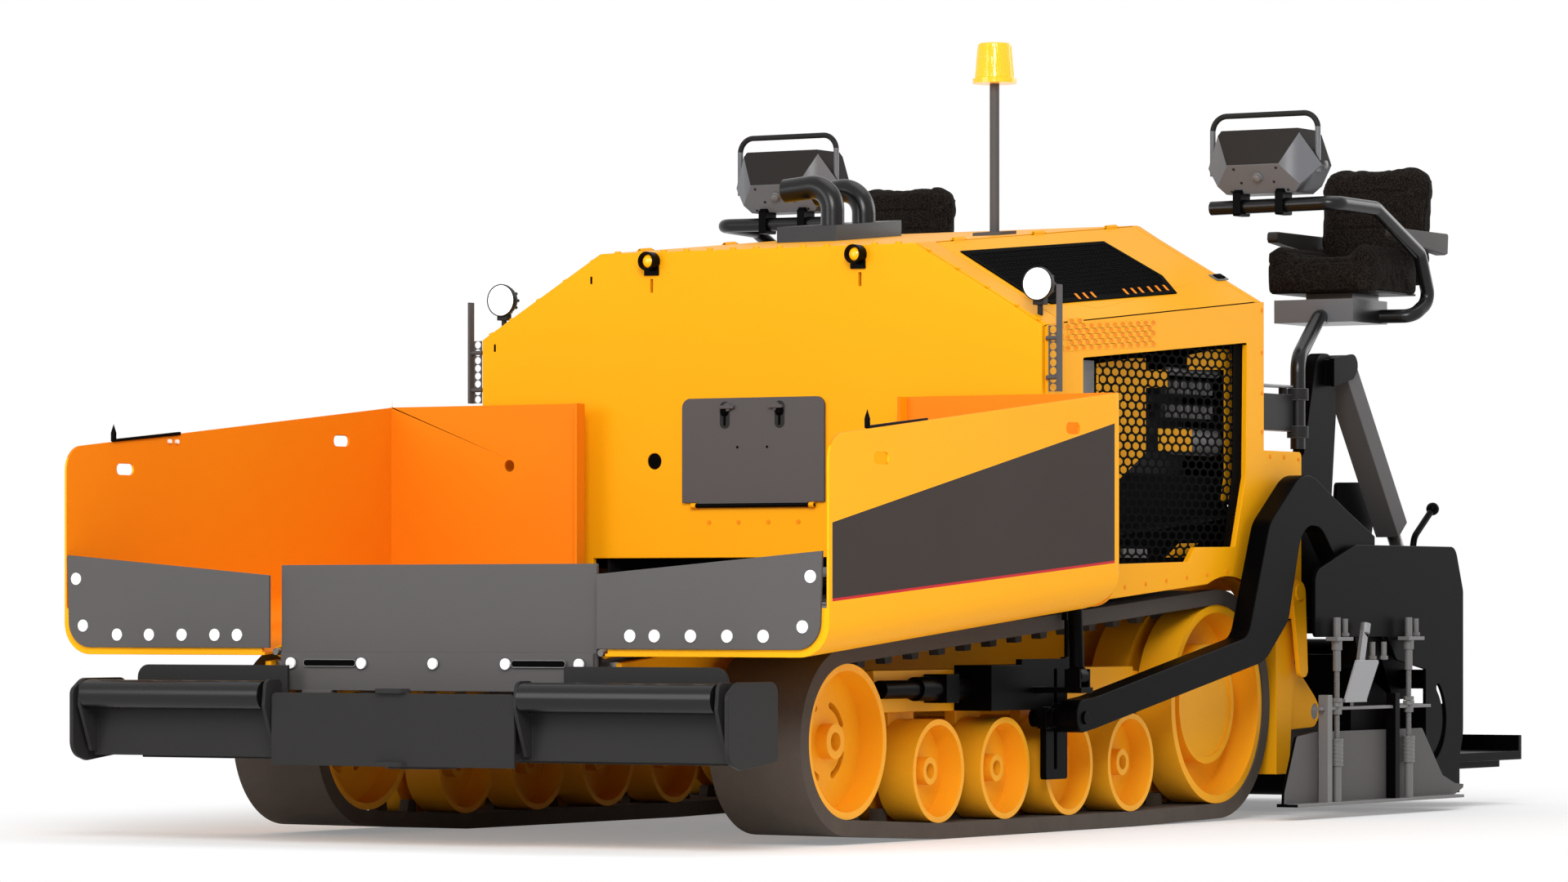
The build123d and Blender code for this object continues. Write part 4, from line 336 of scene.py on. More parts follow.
plainTable = {
    # nodes that keep their own mesh
    # beacon_mast in dark grey: partly its colour, partly a painted highlight along it
    "rubber": "tracks", "wheel": "track_wheels", "plate": "beacon_mast", "worn": "auger_left auger_right",
    "gloss": "push_roller_left push_roller_right station_frame_left station_frame_right exhaust_pipes",
    "black": "wing_cylinder_barrel_left wing_cylinder_barrel_right",
    "steel": "wing_cylinder_rod_left wing_cylinder_rod_right lift_cylinder_rods",
}
for look, names in plainTable.items():
    for name in names.split():
        for materialSlot in nodes[name].material_slots:
            materialSlot.material = finish[look]


def near(value, goal, reach):
    return abs(value - goal) <= reach


def paintFaces(mesh, rules):
    for look, test in rules:
        mesh.materials.append(finish[look])
        for polygon in mesh.polygons:
            if test(polygon.center, polygon.normal):
                polygon.material_index = len(mesh.materials) - 1


seatBox = {"low": 1.915, "high": 2.030, "y": 1.09, "halfWidth": 0.16}


def seatBoxEnd(center, normal):  # the ends of the grey box under each seat
    return (seatBox["low"] < center.z < seatBox["high"] and abs(normal.x) > 0.9
            and abs(abs(center.y) - seatBox["y"]) < seatBox["halfWidth"])


for side, word in sides:
    paintFaces(nodes[f"station_frame_{word}"].data, [("console", seatBoxEnd)])

sideY = 1.205  # the hood sides' outer faces, inside the bosses on them
hoodX = 0.813  # the hood front's outer face
arch = {"center": (-0.63, 0.44), "radius": 0.50, "seen": 0.5}
interiorZone = {"wall": 0.002, "top": 2.27, "down": -0.3, "side": 0.6}
gate = {"stud": 1.3785, "stop": 1.4035, "panelTop": 0.35, "lever": (-1.62, 0.07),
        "dial": (-1.362, 0.155, 0.44)}
consoleMarks = {"y": 1.07, "hoop": 0.242, "hoopZ": 2.645, "top": 2.45, "clampZ": 2.434,
                "clamps": (0.977, 1.157)}
bracketTop = 1.645
doorLip = 1.184
wingRear = 1.2  # behind it a wing's forward faces are its rear wall's


def insideHood(center, normal):  # the faces that the engine sees are painted near black: painted shade of the hood's dark inside
    inside = abs(center.y) < sideY - interiorZone["wall"] and center.z < interiorZone["top"]
    inward = abs(normal.y) > 0.5 and center.y * normal.y < 0 and abs(center.y) > interiorZone["side"]
    return inside and (normal.z < interiorZone["down"] or inward)


# the arch's cut edge and the rear-facing flanges get painted shade
def archEdge(center, normal):
    away = math.hypot(center.x - arch["center"][0], center.z - arch["center"][1])
    return away < arch["radius"] and abs(normal.y) < arch["seen"]


def rearEdge(center, normal):
    return normal.x < -0.7


def wingShadedFaces(center, normal):  # the hopper's own faces: they look at the middle, up or forward, and are painted a deeper orange as painted shade
    return (center.y * normal.y < -0.2 * abs(center.y) or normal.z > 0.5
            or (normal.x > 0.8 and center.x < wingRear))


def gateDial(center, normal):
    x, reach, foot = gate["dial"]
    return abs(center.y) > gate["stop"] and near(center.x, x, reach) and center.z > foot


def consoleHoop(center, normal):
    beside = not near(abs(center.y), consoleMarks["y"], consoleMarks["hoop"])
    return beside or center.z > consoleMarks["hoopZ"]


def consoleClamp(center, normal):
    beside = any(near(abs(center.y), y, 0.02) for y in consoleMarks["clamps"])
    return beside and center.z < consoleMarks["clampZ"]


pairPaint = {
    # node: finish and the test that picks its faces, later rows over earlier ones
    "hood_lid": [("shadedInside", lambda center, normal: normal.z < interiorZone["down"])],
    "wing": [("hopper", wingShadedFaces)],
    "end_gate": [
        ("plate", lambda center, normal: (abs(center.y) < gate["stud"] and center.z < gate["panelTop"]
                                          and abs(normal.y) > 0.9)),
        ("zinc", lambda center, normal: abs(center.y) > gate["stud"] and not near(center.x, *gate["lever"])),
        ("lightGrey", gateDial),
    ],
    "console": [
        ("consoleTop", lambda center, normal: normal.z > 0.15 and center.z > consoleMarks["top"]),
        ("satin", consoleHoop), ("black", consoleClamp),
    ],
}
paintTable = {
    "hood_sides": [("shadedInside", insideHood), ("shadeEdge", archEdge),
                   ("shadeEdge", lambda center, normal: rearEdge(center, normal) and center.x < -1.2)],
    "hood_front": [("shadedInside", lambda center, normal: normal.x < -0.5)],
    "hood_rear": [("shadedInside", lambda center, normal: normal.x > 0.5 and center.z > 1.2)],
    "hood_roof": [("shadedInside", insideHood)],
    "rear_columns": [("shadeEdge", rearEdge)],
    "station_brackets": [("lightGrey", lambda center, normal: abs(normal.z) > 0.7 or center.z > bracketTop)],
    "hood_door": [("black", lambda center, normal: center.z < doorLip)],
    **{f"{stem}_{word}": rules for stem, rules in pairPaint.items() for side, word in sides},
}

sharpTurn = math.radians(50)


def roundEdges(piece, radius):  # a small round on every real edge, and shading that stays flat on flat faces
    if radius:
        worked(piece, "BEVEL", width=radius, segments=2, limit_method="ANGLE", angle_limit=sharpTurn,
               use_clamp_overlap=False)
    with editing(piece.data) as work:
        for face in work.faces:
            face.smooth = True
        for edge in work.edges:
            edge.smooth = len(edge.link_faces) == 2 and edge.calc_face_angle(0.0) < sharpTurn


def shadeFlat(piece):
    worked(piece, "WEIGHTED_NORMAL", mode="FACE_AREA", weight=50, keep_sharp=True)


def cleanMesh(name):  # the node's loose triangles joined, and its flat faces made whole
    mesh = nodes[name].data.copy()
    with editing(mesh) as work:
        bmesh.ops.remove_doubles(work, verts=work.verts, dist=0.00002)
        bmesh.ops.dissolve_limit(work, angle_limit=math.radians(0.6), verts=work.verts, edges=work.edges)
    mesh.materials.clear()
    return mesh


band = {
    # x and z of the band's corners on a wing's outer face, and the red line under it
    "front": 2.879, "rear": 0.932, "top": (1.077, 1.448), "foot": (0.830, 0.967), "line": 0.009,
    "wall": 1.5495,
}


def bandHeight(edge, x):
    front, rear = band[edge]
    return front + (rear - front) * (band["front"] - x) / (band["front"] - band["rear"])


def onWall(center, normal):
    return abs(normal.y) > 0.99 and abs(center.y) > band["wall"] and band["rear"] < center.x < band["front"]


def cutBand(mesh):  # the band and its line are cut into the wing's outer wall and painted
    cuts = [((x, 0, 0), ahead) for x in (band["front"], band["rear"])]
    for drop, edge in ((0, "top"), (0, "foot"), (band["line"], "foot")):
        front, rear = band[edge]
        facing = Vector(((rear - front) / (band["front"] - band["rear"]), 0, 1)).normalized()
        cuts.append(((band["front"], 0, front - drop), facing))
    with editing(mesh) as work:
        for place, facing in cuts:
            parts = set()
            for face in work.faces:
                if abs(face.normal.y) > 0.99 and abs(face.calc_center_median().y) > band["wall"]:
                    parts.update((face, *face.edges, *face.verts))
            bmesh.ops.bisect_plane(work, geom=list(parts), plane_co=place, plane_no=facing)
    paintFaces(mesh, [
        ("band", lambda center, normal: (onWall(center, normal)
                                         and 0 < center.z - bandHeight("foot", center.x)
                                         and center.z < bandHeight("top", center.x))),
        ("stripe", lambda center, normal: (onWall(center, normal)
                                           and -band["line"] < center.z - bandHeight("foot", center.x) < 0)),
    ])


consoleCut = {"x": -1.25, "y": 1.07, "z": 2.5, "halfX": 0.15, "halfY": 0.245, "cutX": 0.110, "cutY": 0.135}


def cutCorners(mesh, side):  # the rim's four corners are cut back, as on the real head
    with editing(mesh) as work:
        for sx, sy in ((1, 1), (1, -1), (-1, 1), (-1, -1)):
            y = side * consoleCut["y"] + sy * (consoleCut["halfY"] - consoleCut["cutY"])
            place = (consoleCut["x"] + sx * consoleCut["halfX"], y, consoleCut["z"])
            facing = (sx * consoleCut["cutY"], sy * consoleCut["cutX"], 0)
            cut = bmesh.ops.bisect_plane(work, geom=[*work.verts, *work.edges, *work.faces], dist=0.000001,
                                         plane_co=place, plane_no=facing, clear_outer=True)
            rim = [item for item in cut["geom_cut"] if isinstance(item, bmesh.types.BMEdge)]
            bmesh.ops.edgenet_fill(work, edges=rim)
        bmesh.ops.recalc_face_normals(work, faces=work.faces)


def dressNode(name, look, radius):
    mesh = cleanMesh(name)
    if name.startswith("console_"):
        cutCorners(mesh, 1 if name.endswith("left") else -1)
    piece = addPiece(f"{name}_shape", mesh, look, nodeBody[name])
    roundEdges(piece, radius)
    paintFaces(piece.data, paintTable.get(name, []))
    if name in ("wing_left", "wing_right"):
        cutBand(piece.data)
    shadeFlat(piece)
    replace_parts(piece, name)


for look, radius, names in softTable:
    for name in names.split():
        dressNode(name, look, radius)
print("nodes dressed")


# small shapes in mesh code, given by their places on the left side: side is 1 there and -1 on the right

def onSide(place, side):
    return Vector((place[0], side * place[1], place[2]))


def addBlock(work, side, low, high):
    xs, ys, zs = zip(low, high)
    corners = [work.verts.new((x, side * y, z)) for x in xs for y in ys for z in zs]
    for face in ((0, 1, 3, 2), (4, 6, 7, 5), (0, 4, 5, 1), (2, 3, 7, 6), (0, 2, 6, 4), (1, 5, 7, 3)):
        work.faces.new([corners[index] for index in face])


def addPrism(work, side, points, along):  # a flat outline given thickness along a vector
    first = [work.verts.new(onSide(point, side)) for point in points]
    second = [work.verts.new(onSide(point, side) + onSide(along, side)) for point in points]
    work.faces.new(first)
    work.faces.new(list(reversed(second)))
    for (a, b), (c, d) in zip(neighbours(first), neighbours(second)):
        work.faces.new((a, b, d, c))


def addSidePlate(work, side, outline, y, thickness):  # outline in x and z
    addPrism(work, side, [(x, y, z) for x, z in outline], (0, thickness, 0))


def addFrontPlate(work, side, outline, x, thickness):  # outline in y and z
    addPrism(work, side, [(x, y, z) for y, z in outline], (thickness, 0, 0))


# profile rows: radius, distance along
def addLathe(work, side, profile, start, along, corners=24, closed=False):
    axis = onSide(along, side).normalized()
    across = axis.orthogonal().normalized()
    third = axis.cross(across)
    rings = []
    for radius, reach in profile:
        center = onSide(start, side) + axis * reach
        turns = [2 * math.pi * step / corners for step in range(corners if radius else 1)]
        rings.append([work.verts.new(center + (across * math.cos(turn) + third * math.sin(turn)) * radius)
                      for turn in turns])
    for lower, upper in neighbours(rings) if closed else zip(rings, rings[1:]):
        for step in range(corners):
            verts = []
            for ring, place in ((lower, step), (lower, step + 1), (upper, step + 1), (upper, step)):
                vert = ring[place % len(ring)]
                if vert not in verts:
                    verts.append(vert)
            work.faces.new(verts)
    for ring in (rings[0], rings[-1]):
        if not closed and len(ring) > 1:
            work.faces.new(ring)


def addRod(work, side, start, end, radius, corners=16):
    along = Vector(end) - Vector(start)
    addLathe(work, side, [(radius, 0), (radius, along.length)], start, along, corners)


def roundedOutline(length, height, corner, steps=4, middle=(0, 0)):  # a rectangle with round corners
    points = []
    for quarter, (sx, sy) in enumerate(((1, 1), (-1, 1), (-1, -1), (1, -1))):
        for step in range(steps + 1):
            turn = math.pi / 2 * (quarter + step / steps)
            points.append((middle[0] + sx * (length / 2 - corner) + corner * math.cos(turn),
                           middle[1] + sy * (height / 2 - corner) + corner * math.sin(turn)))
    return points


def sidesOf(name):  # a name with a gap stands for a left and a right piece
    return sides if "{}" in name else sides[:1]


def buildPiece(name, look, body, radius, parts, twin=False):  # parts: a shape and its sizes
    for side, word in sidesOf(name):
        work = bmesh.new()
        for hand in (1, -1) if twin else (side,):  # a twin piece holds both sides' parts
            for shape, *sizes in parts:
                shape(work, hand, *sizes)
        piece = addPiece(name.format(word), meshFrom(work, name.format(word)), look, body.format(word))
        roundEdges(piece, radius)
        shadeFlat(piece)
    return piece


# trees that set one shape on every point of a mesh

def startShapes(name, inputs):
    return startGroup(name, "GeometryNodeTree", {"Geometry": "Geometry", **inputs, "Material": "Material"},
                      {"Geometry": "Geometry"})


def endShapes(tree, start, end, shape, turn=None):
    spread = addNode(tree, "GeometryNodeInstanceOnPoints", {"Points": start["Geometry"], "Instance": shape})
    if turn:
        fillInputs(tree, spread, {"Rotation": turn})
    real = addNode(tree, "GeometryNodeRealizeInstances", {0: spread})
    coated = addNode(tree, "GeometryNodeSetMaterial", {"Geometry": real, "Material": start["Material"]})
    fillInputs(tree, end, {0: coated})
    return tree


def makeBoltTree():  # a head with a low dome
    tree, start, end = startShapes("boltHeads", {"Radius": 0.01, "Height": 0.005, "Sides": 6, "Dome": 0.0})
    head = addNode(tree, "GeometryNodeMeshCylinder", {"Vertices": start["Sides"], "Radius": start["Radius"],
                                                      "Depth": start["Height"]})
    ball = addNode(tree, "GeometryNodeMeshUVSphere", {"Radius": start["Radius"], "Segments": 12, "Rings": 6})
    flatness = addNode(tree, "ShaderNodeCombineXYZ", {0: 0.8, 1: 0.8, 2: start["Dome"]})
    dome = addNode(tree, "GeometryNodeTransform", {"Geometry": ball, "Scale": flatness})
    both = addNode(tree, "GeometryNodeJoinGeometry", {0: [head, dome]})
    facing = addNode(tree, "GeometryNodeInputNamedAttribute", {"Name": "facing"}, data_type="FLOAT_VECTOR")
    turn = addNode(tree, "FunctionNodeAlignRotationToVector", {"Vector": facing.outputs["Attribute"]},
                   axis="Z")
    return endShapes(tree, start, end, both, turn)


def makeWebTree():  # a tile of perforated sheet with one hole
    tree, start, end = startShapes("perforatedSheet", {
        "Hole Length": 0.046, "Hole Height": 0.025, "Pitch": 0.064, "Row Pitch": 0.03, "Thickness": 0.003,
        "Corners": 8})
    edge = addNode(tree, "GeometryNodeCurvePrimitiveQuadrilateral", {"Width": start["Pitch"],
                                                                     "Height": start["Row Pitch"]})
    cornerReach = 0.541  # from the middle to a corner of an octagon one unit wide
    ring = addNode(tree, "GeometryNodeCurvePrimitiveCircle",
                   {"Resolution": start["Corners"], "Radius": cornerReach})
    halfStep = addNode(tree, "ShaderNodeCombineXYZ", {2: addMath(tree, "DIVIDE", math.pi, start["Corners"])})
    turned = addNode(tree, "GeometryNodeTransform", {"Geometry": ring, "Rotation": halfStep})
    size = addNode(tree, "ShaderNodeCombineXYZ", {0: start["Hole Length"], 1: start["Hole Height"], 2: 1.0})
    hole = addNode(tree, "GeometryNodeTransform", {"Geometry": turned, "Scale": size})
    outline = addNode(tree, "GeometryNodeJoinGeometry", {0: [edge, hole]})
    face = addNode(tree, "GeometryNodeFillCurve", {"Curve": outline})
    deep = addNode(tree, "GeometryNodeExtrudeMesh", {"Mesh": face, "Offset Scale": start["Thickness"],
                                                     "Individual": False})
    back = addNode(tree, "GeometryNodeFlipFaces", {"Mesh": face})
    whole = addNode(tree, "GeometryNodeJoinGeometry", {0: [deep, back]})
    closed = addNode(tree, "GeometryNodeMergeByDistance", {"Geometry": whole, "Distance": 0.00001})
    return endShapes(tree, start, end, closed)


def makeCoilTree():  # a helix of round wire, for springs and threads
    tree, start, end = startShapes("coils", {"Radius": 0.02, "Height": 0.08, "Turns": 6.0, "Wire": 0.003})
    helix = addNode(tree, "GeometryNodeCurveSpiral", {
        "Resolution": 12, "Rotations": start["Turns"], "Start Radius": start["Radius"],
        "End Radius": start["Radius"], "Height": start["Height"]})
    section = addNode(tree, "GeometryNodeCurvePrimitiveCircle", {"Resolution": 6, "Radius": start["Wire"]})
    wire = addNode(tree, "GeometryNodeCurveToMesh",
                   {"Curve": helix, "Profile Curve": section, "Fill Caps": True})
    return endShapes(tree, start, end, wire)


boltTree = makeBoltTree()
webTree = makeWebTree()
coilTree = makeCoilTree()


def setShapes(name, points, tree, values, look, body, facing=None, matrix=None):
    mesh = bpy.data.meshes.new(name)
    mesh.from_pydata([Vector(point).to_3d() for point in points], [], [])
    if facing is not None:
        for item in mesh.attributes.new("facing", "FLOAT_VECTOR", "POINT").data:
            item.vector = facing
    piece = bpy.data.objects.new(name, mesh)
    bpy.context.scene.collection.objects.link(piece)
    modifier = piece.modifiers.new("nodes", "NODES")
    modifier.node_group = tree
    given = {**values, "Material": finish[look]}
    for item in tree.interface.items_tree:
        if item.in_out == "INPUT" and item.name in given:
            modifier[item.identifier] = given[item.name]
    bakeModifiers(piece)
    if matrix:
        piece.data.transform(matrix)
    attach(piece, body)
    return piece


def setBolts(name, points, facing, look, body, radius=0.009, height=0.006, corners=6, dome=0.35):
    values = {"Radius": radius, "Height": height, "Sides": corners, "Dome": dome}
    for side, word in sidesOf(name):
        setShapes(name.format(word), [(x, side * y, z) for x, y, z in points], boltTree, values, look,
                  body.format(word), facing=(facing[0], side * facing[1], facing[2]))


def setCoils(name, points, look, body, values):
    for side, word in sidesOf(name):
        setShapes(name.format(word), [(x, side * y, z) for x, y, z in points], coilTree, values, look,
                  body.format(word))


def insideOutline(outline, x, z):
    inside = False
    for (x1, z1), (x2, z2) in neighbours(outline):
        if (z1 > z) != (z2 > z) and x < (x2 - x1) * (z - z1) / (z2 - z1) + x1:
            inside = not inside
    return inside


def staggered(outline, start, sheet, rise=0.0):  # hole centres inside an outline
    pitch, rowPitch = sheet["Pitch"], sheet["Row Pitch"]
    low = [min(point[axis] for point in outline) for axis in (0, 1)]
    reach = [max(point[axis] for point in outline) - low[axis] for axis in (0, 1)]
    centers = []
    for row in range(int(reach[1] / rowPitch) + 2):
        for column in range(int(reach[0] / pitch) + 2):
            x = start[0] - pitch * (column + (row % 2) / 2)
            z = low[1] + start[1] + row * rowPitch + rise * (start[0] - x)
            if insideOutline(outline, x, z):
                centers.append((x, z))
    return centers


def sidePlane(y):  # local x and y lie along X and Z, and the sheet grows towards -Y
    return Matrix(((1, 0, 0, 0), (0, 0, -1, y), (0, 1, 0, 0), (0, 0, 0, 1)))


def frontPlane(x):  # local x and y lie along Y and Z, and the sheet grows towards +X
    return Matrix(((0, 0, 1, x), (1, 0, 0, 0), (0, 1, 0, 0), (0, 0, 0, 1)))


# side grilles: the fine sheet behind each opening

grilleLow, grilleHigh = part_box("side_grilles")
grille = {
    "front": grilleHigh.x - 0.04, "rear": grilleLow.x + 0.04, "top": grilleHigh.z - 0.049, "frontTop": 1.700,
    "foot": 0.955, "lap": 0.012, "waist": 1.298, "sill": 1.031, "notch": 0.102, "border": 0.075,
    "frontBorder": 0.02, "firstHole": (0.358, 0.008), "setBack": 0.001,
}
grilleSheet = {"Hole Length": 0.050, "Hole Height": 0.0262, "Pitch": 0.064, "Row Pitch": 0.0295,
               "Thickness": 0.0015, "Corners": 8}
front, rear, lap = grille["front"], grille["rear"], grille["lap"]
grilleOutline = [
    (front + lap, grille["frontTop"] + lap), (rear - lap, grille["top"] + lap),
    (rear + 0.010 - lap, grille["waist"]),
    (rear + grille["notch"] - lap, grille["sill"] - lap), (rear + 0.428, 1.027 - lap),
    (rear + 0.488, 0.972 - lap), (front + lap, grille["foot"] - lap),
]
grilleBorder = [
    (rear + grille["border"], 1.80), *grilleOutline[1:4],
    (rear + grille["notch"] + 0.06, grille["sill"] - lap),
    (rear + 0.010 + grille["border"], grille["waist"]),
]
grilleHoles = staggered(grilleOutline, grille["firstHole"], grilleSheet)
for side, word in sides:
    faceY = grilleHigh.y if side > 0 else grilleSheet["Thickness"] - grilleHigh.y
    web = setShapes(f"grille_{word}", grilleHoles, webTree, grilleSheet, "mesh", "chassis",
                    matrix=sidePlane(faceY - grille["setBack"]))
    if side > 0:
        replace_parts(web, "side_grilles")
# a black band round the grille's top and rear, and a black strip at its front edge that is painted shadow of
# the opening's edge
buildPiece("grille_border_shade_{}", "mesh", "chassis", 0.0005, [
    (addSidePlate, grilleBorder, grilleHigh.y - 0.0005, 0.0025),
    (addBlock, (front - grille["frontBorder"], grilleHigh.y, grille["foot"]),
     (front + lap, grilleHigh.y + 0.003, grille["frontTop"])),
])
print("side grilles woven")


# engine bay: the panels, fins, filter and pipes that show through the grilles

bayPanels = {
    # orange panels behind the sheet, outlines in x and z, in a brighter orange that is painted light
    "y": 1.150, "thickness": 0.003,
    "outlines": [
        [(0.320, 1.687), (0.047, 1.716), (-0.063, 1.720), (-0.063, 1.372), (0.137, 1.275), (0.320, 1.271)],
        [(-0.066, 1.678), (-0.237, 1.683), (-0.237, 1.617), (-0.066, 1.612)],
        [(-0.397, 1.743), (-0.632, 1.774), (-0.765, 1.778), (-0.765, 1.701), (-0.397, 1.689)],
        [(-0.700, 1.699), (-0.765, 1.699), (-0.765, 1.301), (-0.735, 1.205), (-0.672, 1.205),
         (-0.700, 1.300)],
        [(-0.165, 1.464), (-0.433, 1.471), (-0.433, 1.385), (-0.165, 1.379)],
        [(-0.226, 0.988), (-0.329, 1.041), (-0.485, 1.043), (-0.391, 0.990)],
    ],
}
fins = {"zs": (1.535, 1.625), "xs": [-0.35 - 0.049 * count for count in range(7)], "y": (1.085, 1.13),
        "half": (0.004, 0.024), "backY": (1.03, 1.085), "back": (0.03, 0.028)}
bayBlocks = {
    # low and high corners
    "engine": [((-0.60, 0.70, 1.20), (-0.12, 1.03, 1.66))],
    # wall: near-black sheets inside the hood, painted shade where the bay shows through
    "wall": [((-0.86, 1.082, 0.955), (0.56, 1.085, 1.30)), ((-0.86, 0.497, 1.70), (0.56, 0.50, 2.05))],
    # liner: darker orange plates inside the wheel arch, painted shade
    "liner": [((-1.02, 1.084, 0.866), (0.56, 1.088, 0.955))],
    "fittings": [((-0.08, 1.10, 0.985), (0.11, 1.15, 1.018)), ((0.340, 1.12, 0.99), (0.462, 1.153, 1.697))],
}
bayRods = {
    # start, end, radius, sides
    "engine": [((0.30, 0.86, 1.25), (0.30, 1.06, 1.25), 0.14, 28),
               ((0.02, 0.90, 1.42), (0.02, 1.07, 1.42), 0.07, 24)],
    "fittings": [((-0.28, 1.12, 1.682), (-0.70, 1.12, 1.682), 0.016, 16),
                 ((-0.42, 1.092, 1.425), (-0.70, 1.092, 1.425), 0.052, 24)],
}
archShadeLiner = {"y": 1.088, "depth": 0.115, "inner": 0.497, "outer": 0.501,
             "turns": [math.radians(74 + 7 * step) for step in range(11)]}


def bayShapes(group):
    return ([(addBlock, *corners) for corners in bayBlocks[group]]
            + [(addRod, *sizes) for sizes in bayRods.get(group, [])])


def finBlocks(xs, half, depth):  # one block for each height, from the first x to the last
    return [(addBlock, (min(xs) - half[0], depth[0], z - half[1]),
             (max(xs) + half[0], depth[1], z + half[1]))
            for z in fins["zs"]]


def archPoint(reach, turn):
    return arch["center"][0] + reach * math.cos(turn), arch["center"][1] + reach * math.sin(turn)


archPlates = []
for low, high in zip(archShadeLiner["turns"], archShadeLiner["turns"][1:]):
    inner, outer = archShadeLiner["inner"], archShadeLiner["outer"]
    corners = [archPoint(inner, low), archPoint(inner, high), archPoint(outer, high), archPoint(outer, low)]
    archPlates.append((addSidePlate, corners, archShadeLiner["y"], archShadeLiner["depth"]))
buildPiece("bay_panels_{}", "bay", "chassis", 0.0005, [
    (addSidePlate, outline, bayPanels["y"], bayPanels["thickness"]) for outline in bayPanels["outlines"]])
buildPiece("bay_engine_{}", "engine", "chassis", 0.004,
           finBlocks(fins["xs"], fins["back"], fins["backY"]) + bayShapes("engine"))
# near-black walls and darker orange arch plates: painted shade inside the hood
buildPiece("bay_shade_wall_{}", "shadedInside", "chassis", 0.0, bayShapes("wall"))
buildPiece("arch_shade_liner_{}", "deep", "chassis", 0.0, bayShapes("liner") + archPlates)
finRows = [block for x in fins["xs"] for block in finBlocks([x], fins["half"], fins["y"])]
buildPiece("bay_fittings_{}", "zinc", "chassis", 0.001, finRows + bayShapes("fittings"))
print("engine bay filled")


# perforations in the hood sides and the ladders beside the marker posts

vent = {"outline": [(0.665, 1.722), (0.665, 1.826), (-0.020, 1.864), (-0.020, 1.752)],
        "firstHole": (0.640, 0.007),
        "rise": 0.062, "stand": 0.0014, "halfBack": (0.022, 0.0088), "backIn": 0.001, "backOut": 0.0002}
ventSheet = {"Hole Length": 0.036, "Hole Height": 0.0155, "Pitch": 0.0600, "Row Pitch": 0.0195,
             "Thickness": 0.0012, "Corners": 8}
ladder = {"y": 1.229, "foot": 1.585, "rungs": 8, "stand": 0.008}
ladderSheet = {"Hole Length": 0.0265, "Hole Height": 0.0255, "Pitch": 0.036, "Row Pitch": 0.0293,
               "Thickness": 0.003, "Corners": 14}
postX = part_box("marker_posts")[0].x
ventHoles = staggered(vent["outline"], vent["firstHole"], ventSheet, vent["rise"])
for side, word in sides:
    setShapes(f"side_vent_{word}", ventHoles, webTree, ventSheet, "orange", "chassis",
              matrix=sidePlane(sideY + vent["stand"] if side > 0 else -sideY))
    rungs = [(side * ladder["y"], ladder["foot"] + ladderSheet["Row Pitch"] * count)
             for count in range(ladder["rungs"])]
    setShapes(f"marker_ladder_{word}", rungs, webTree, ladderSheet, "plate", "chassis",
              matrix=frontPlane(postX + ladder["stand"]))
halfX, halfZ = vent["halfBack"]
# a darker orange block behind each vent hole, painted shade inside the hole
buildPiece("side_vent_shade_{}", "deep", "chassis", 0.0, [
    (addBlock, (x - halfX, sideY - vent["backIn"], z - halfZ),
     (x + halfX, sideY + vent["backOut"], z + halfZ))
    for x, z in ventHoles])
print("vents and ladders set")


# lid screens

hoodLine = {"eave": 1.807, "rise": 158 / 1743, "fall": 307 / 531}  # the slanting sides' edge and slopes
slantNormal = Vector((hoodLine["rise"], hoodLine["fall"], 1)).normalized()
alongX = Vector((1, 0, -hoodLine["rise"])).normalized()
alongY = slantNormal.cross(alongX)


def lidPoint(x, y, lift):  # a point over the left slanting side's outer face
    height = hoodLine["eave"] + hoodLine["rise"] * (hoodX - x) + hoodLine["fall"] * (sideY - y)
    return Vector((x, y, height)) + slantNormal * lift


def lidPlate(outline, lift, thickness):
    return addPrism, [lidPoint(x, y, lift) for x, y in outline], slantNormal * thickness


lidOpening = [(0.535, 0.775), (-0.575, 0.775), (-0.575, 1.060), (0.300, 1.146), (0.535, 1.055)]
screen = {
    "edge": [(0.612, 0.748), (-0.468, 0.760), (-0.490, 0.998), (-0.396, 1.108), (0.560, 1.096),
             (0.625, 1.045)],
    "middle": (0.08, 0.92), "rim": (0.955, 0.88), "firstHole": (0.60, 0.012), "originY": 0.9, "lift": 0.0022,
    "slotXs": [0.32, 0.259, 0.199, -0.054, -0.117, -0.175, -0.248, -0.311, -0.373], "slotY": 1.072,
    "slot": [(0.02, 0.016), (0.006, 0.018), (-0.02, -0.016), (-0.006, -0.018)],
}
screenSheet = {"Hole Length": 0.020, "Hole Height": 0.020, "Pitch": 0.026, "Row Pitch": 0.026,
               "Thickness": 0.002, "Corners": 4}
lidLatch = {"x": -0.880, "y": 1.037, "length": 0.098, "width": 0.040, "corner": 0.008, "handle": 0.62}


def scaled(outline, shares, middle):
    return [tuple(center + (value - center) * share for value, share, center in zip(point, shares, middle))
            for point in outline]


rimInside = scaled(screen["edge"], screen["rim"], screen["middle"])
rimPlates = [lidPlate([a, b, d, c], 0.0014, 0.004)
             for (a, b), (c, d) in zip(neighbours(screen["edge"]), neighbours(rimInside))]
buildPiece("lid_plate_{}", "orange", "hood_lid_{}", 0.0, [lidPlate(lidOpening, 0.0001, 0.0006)])
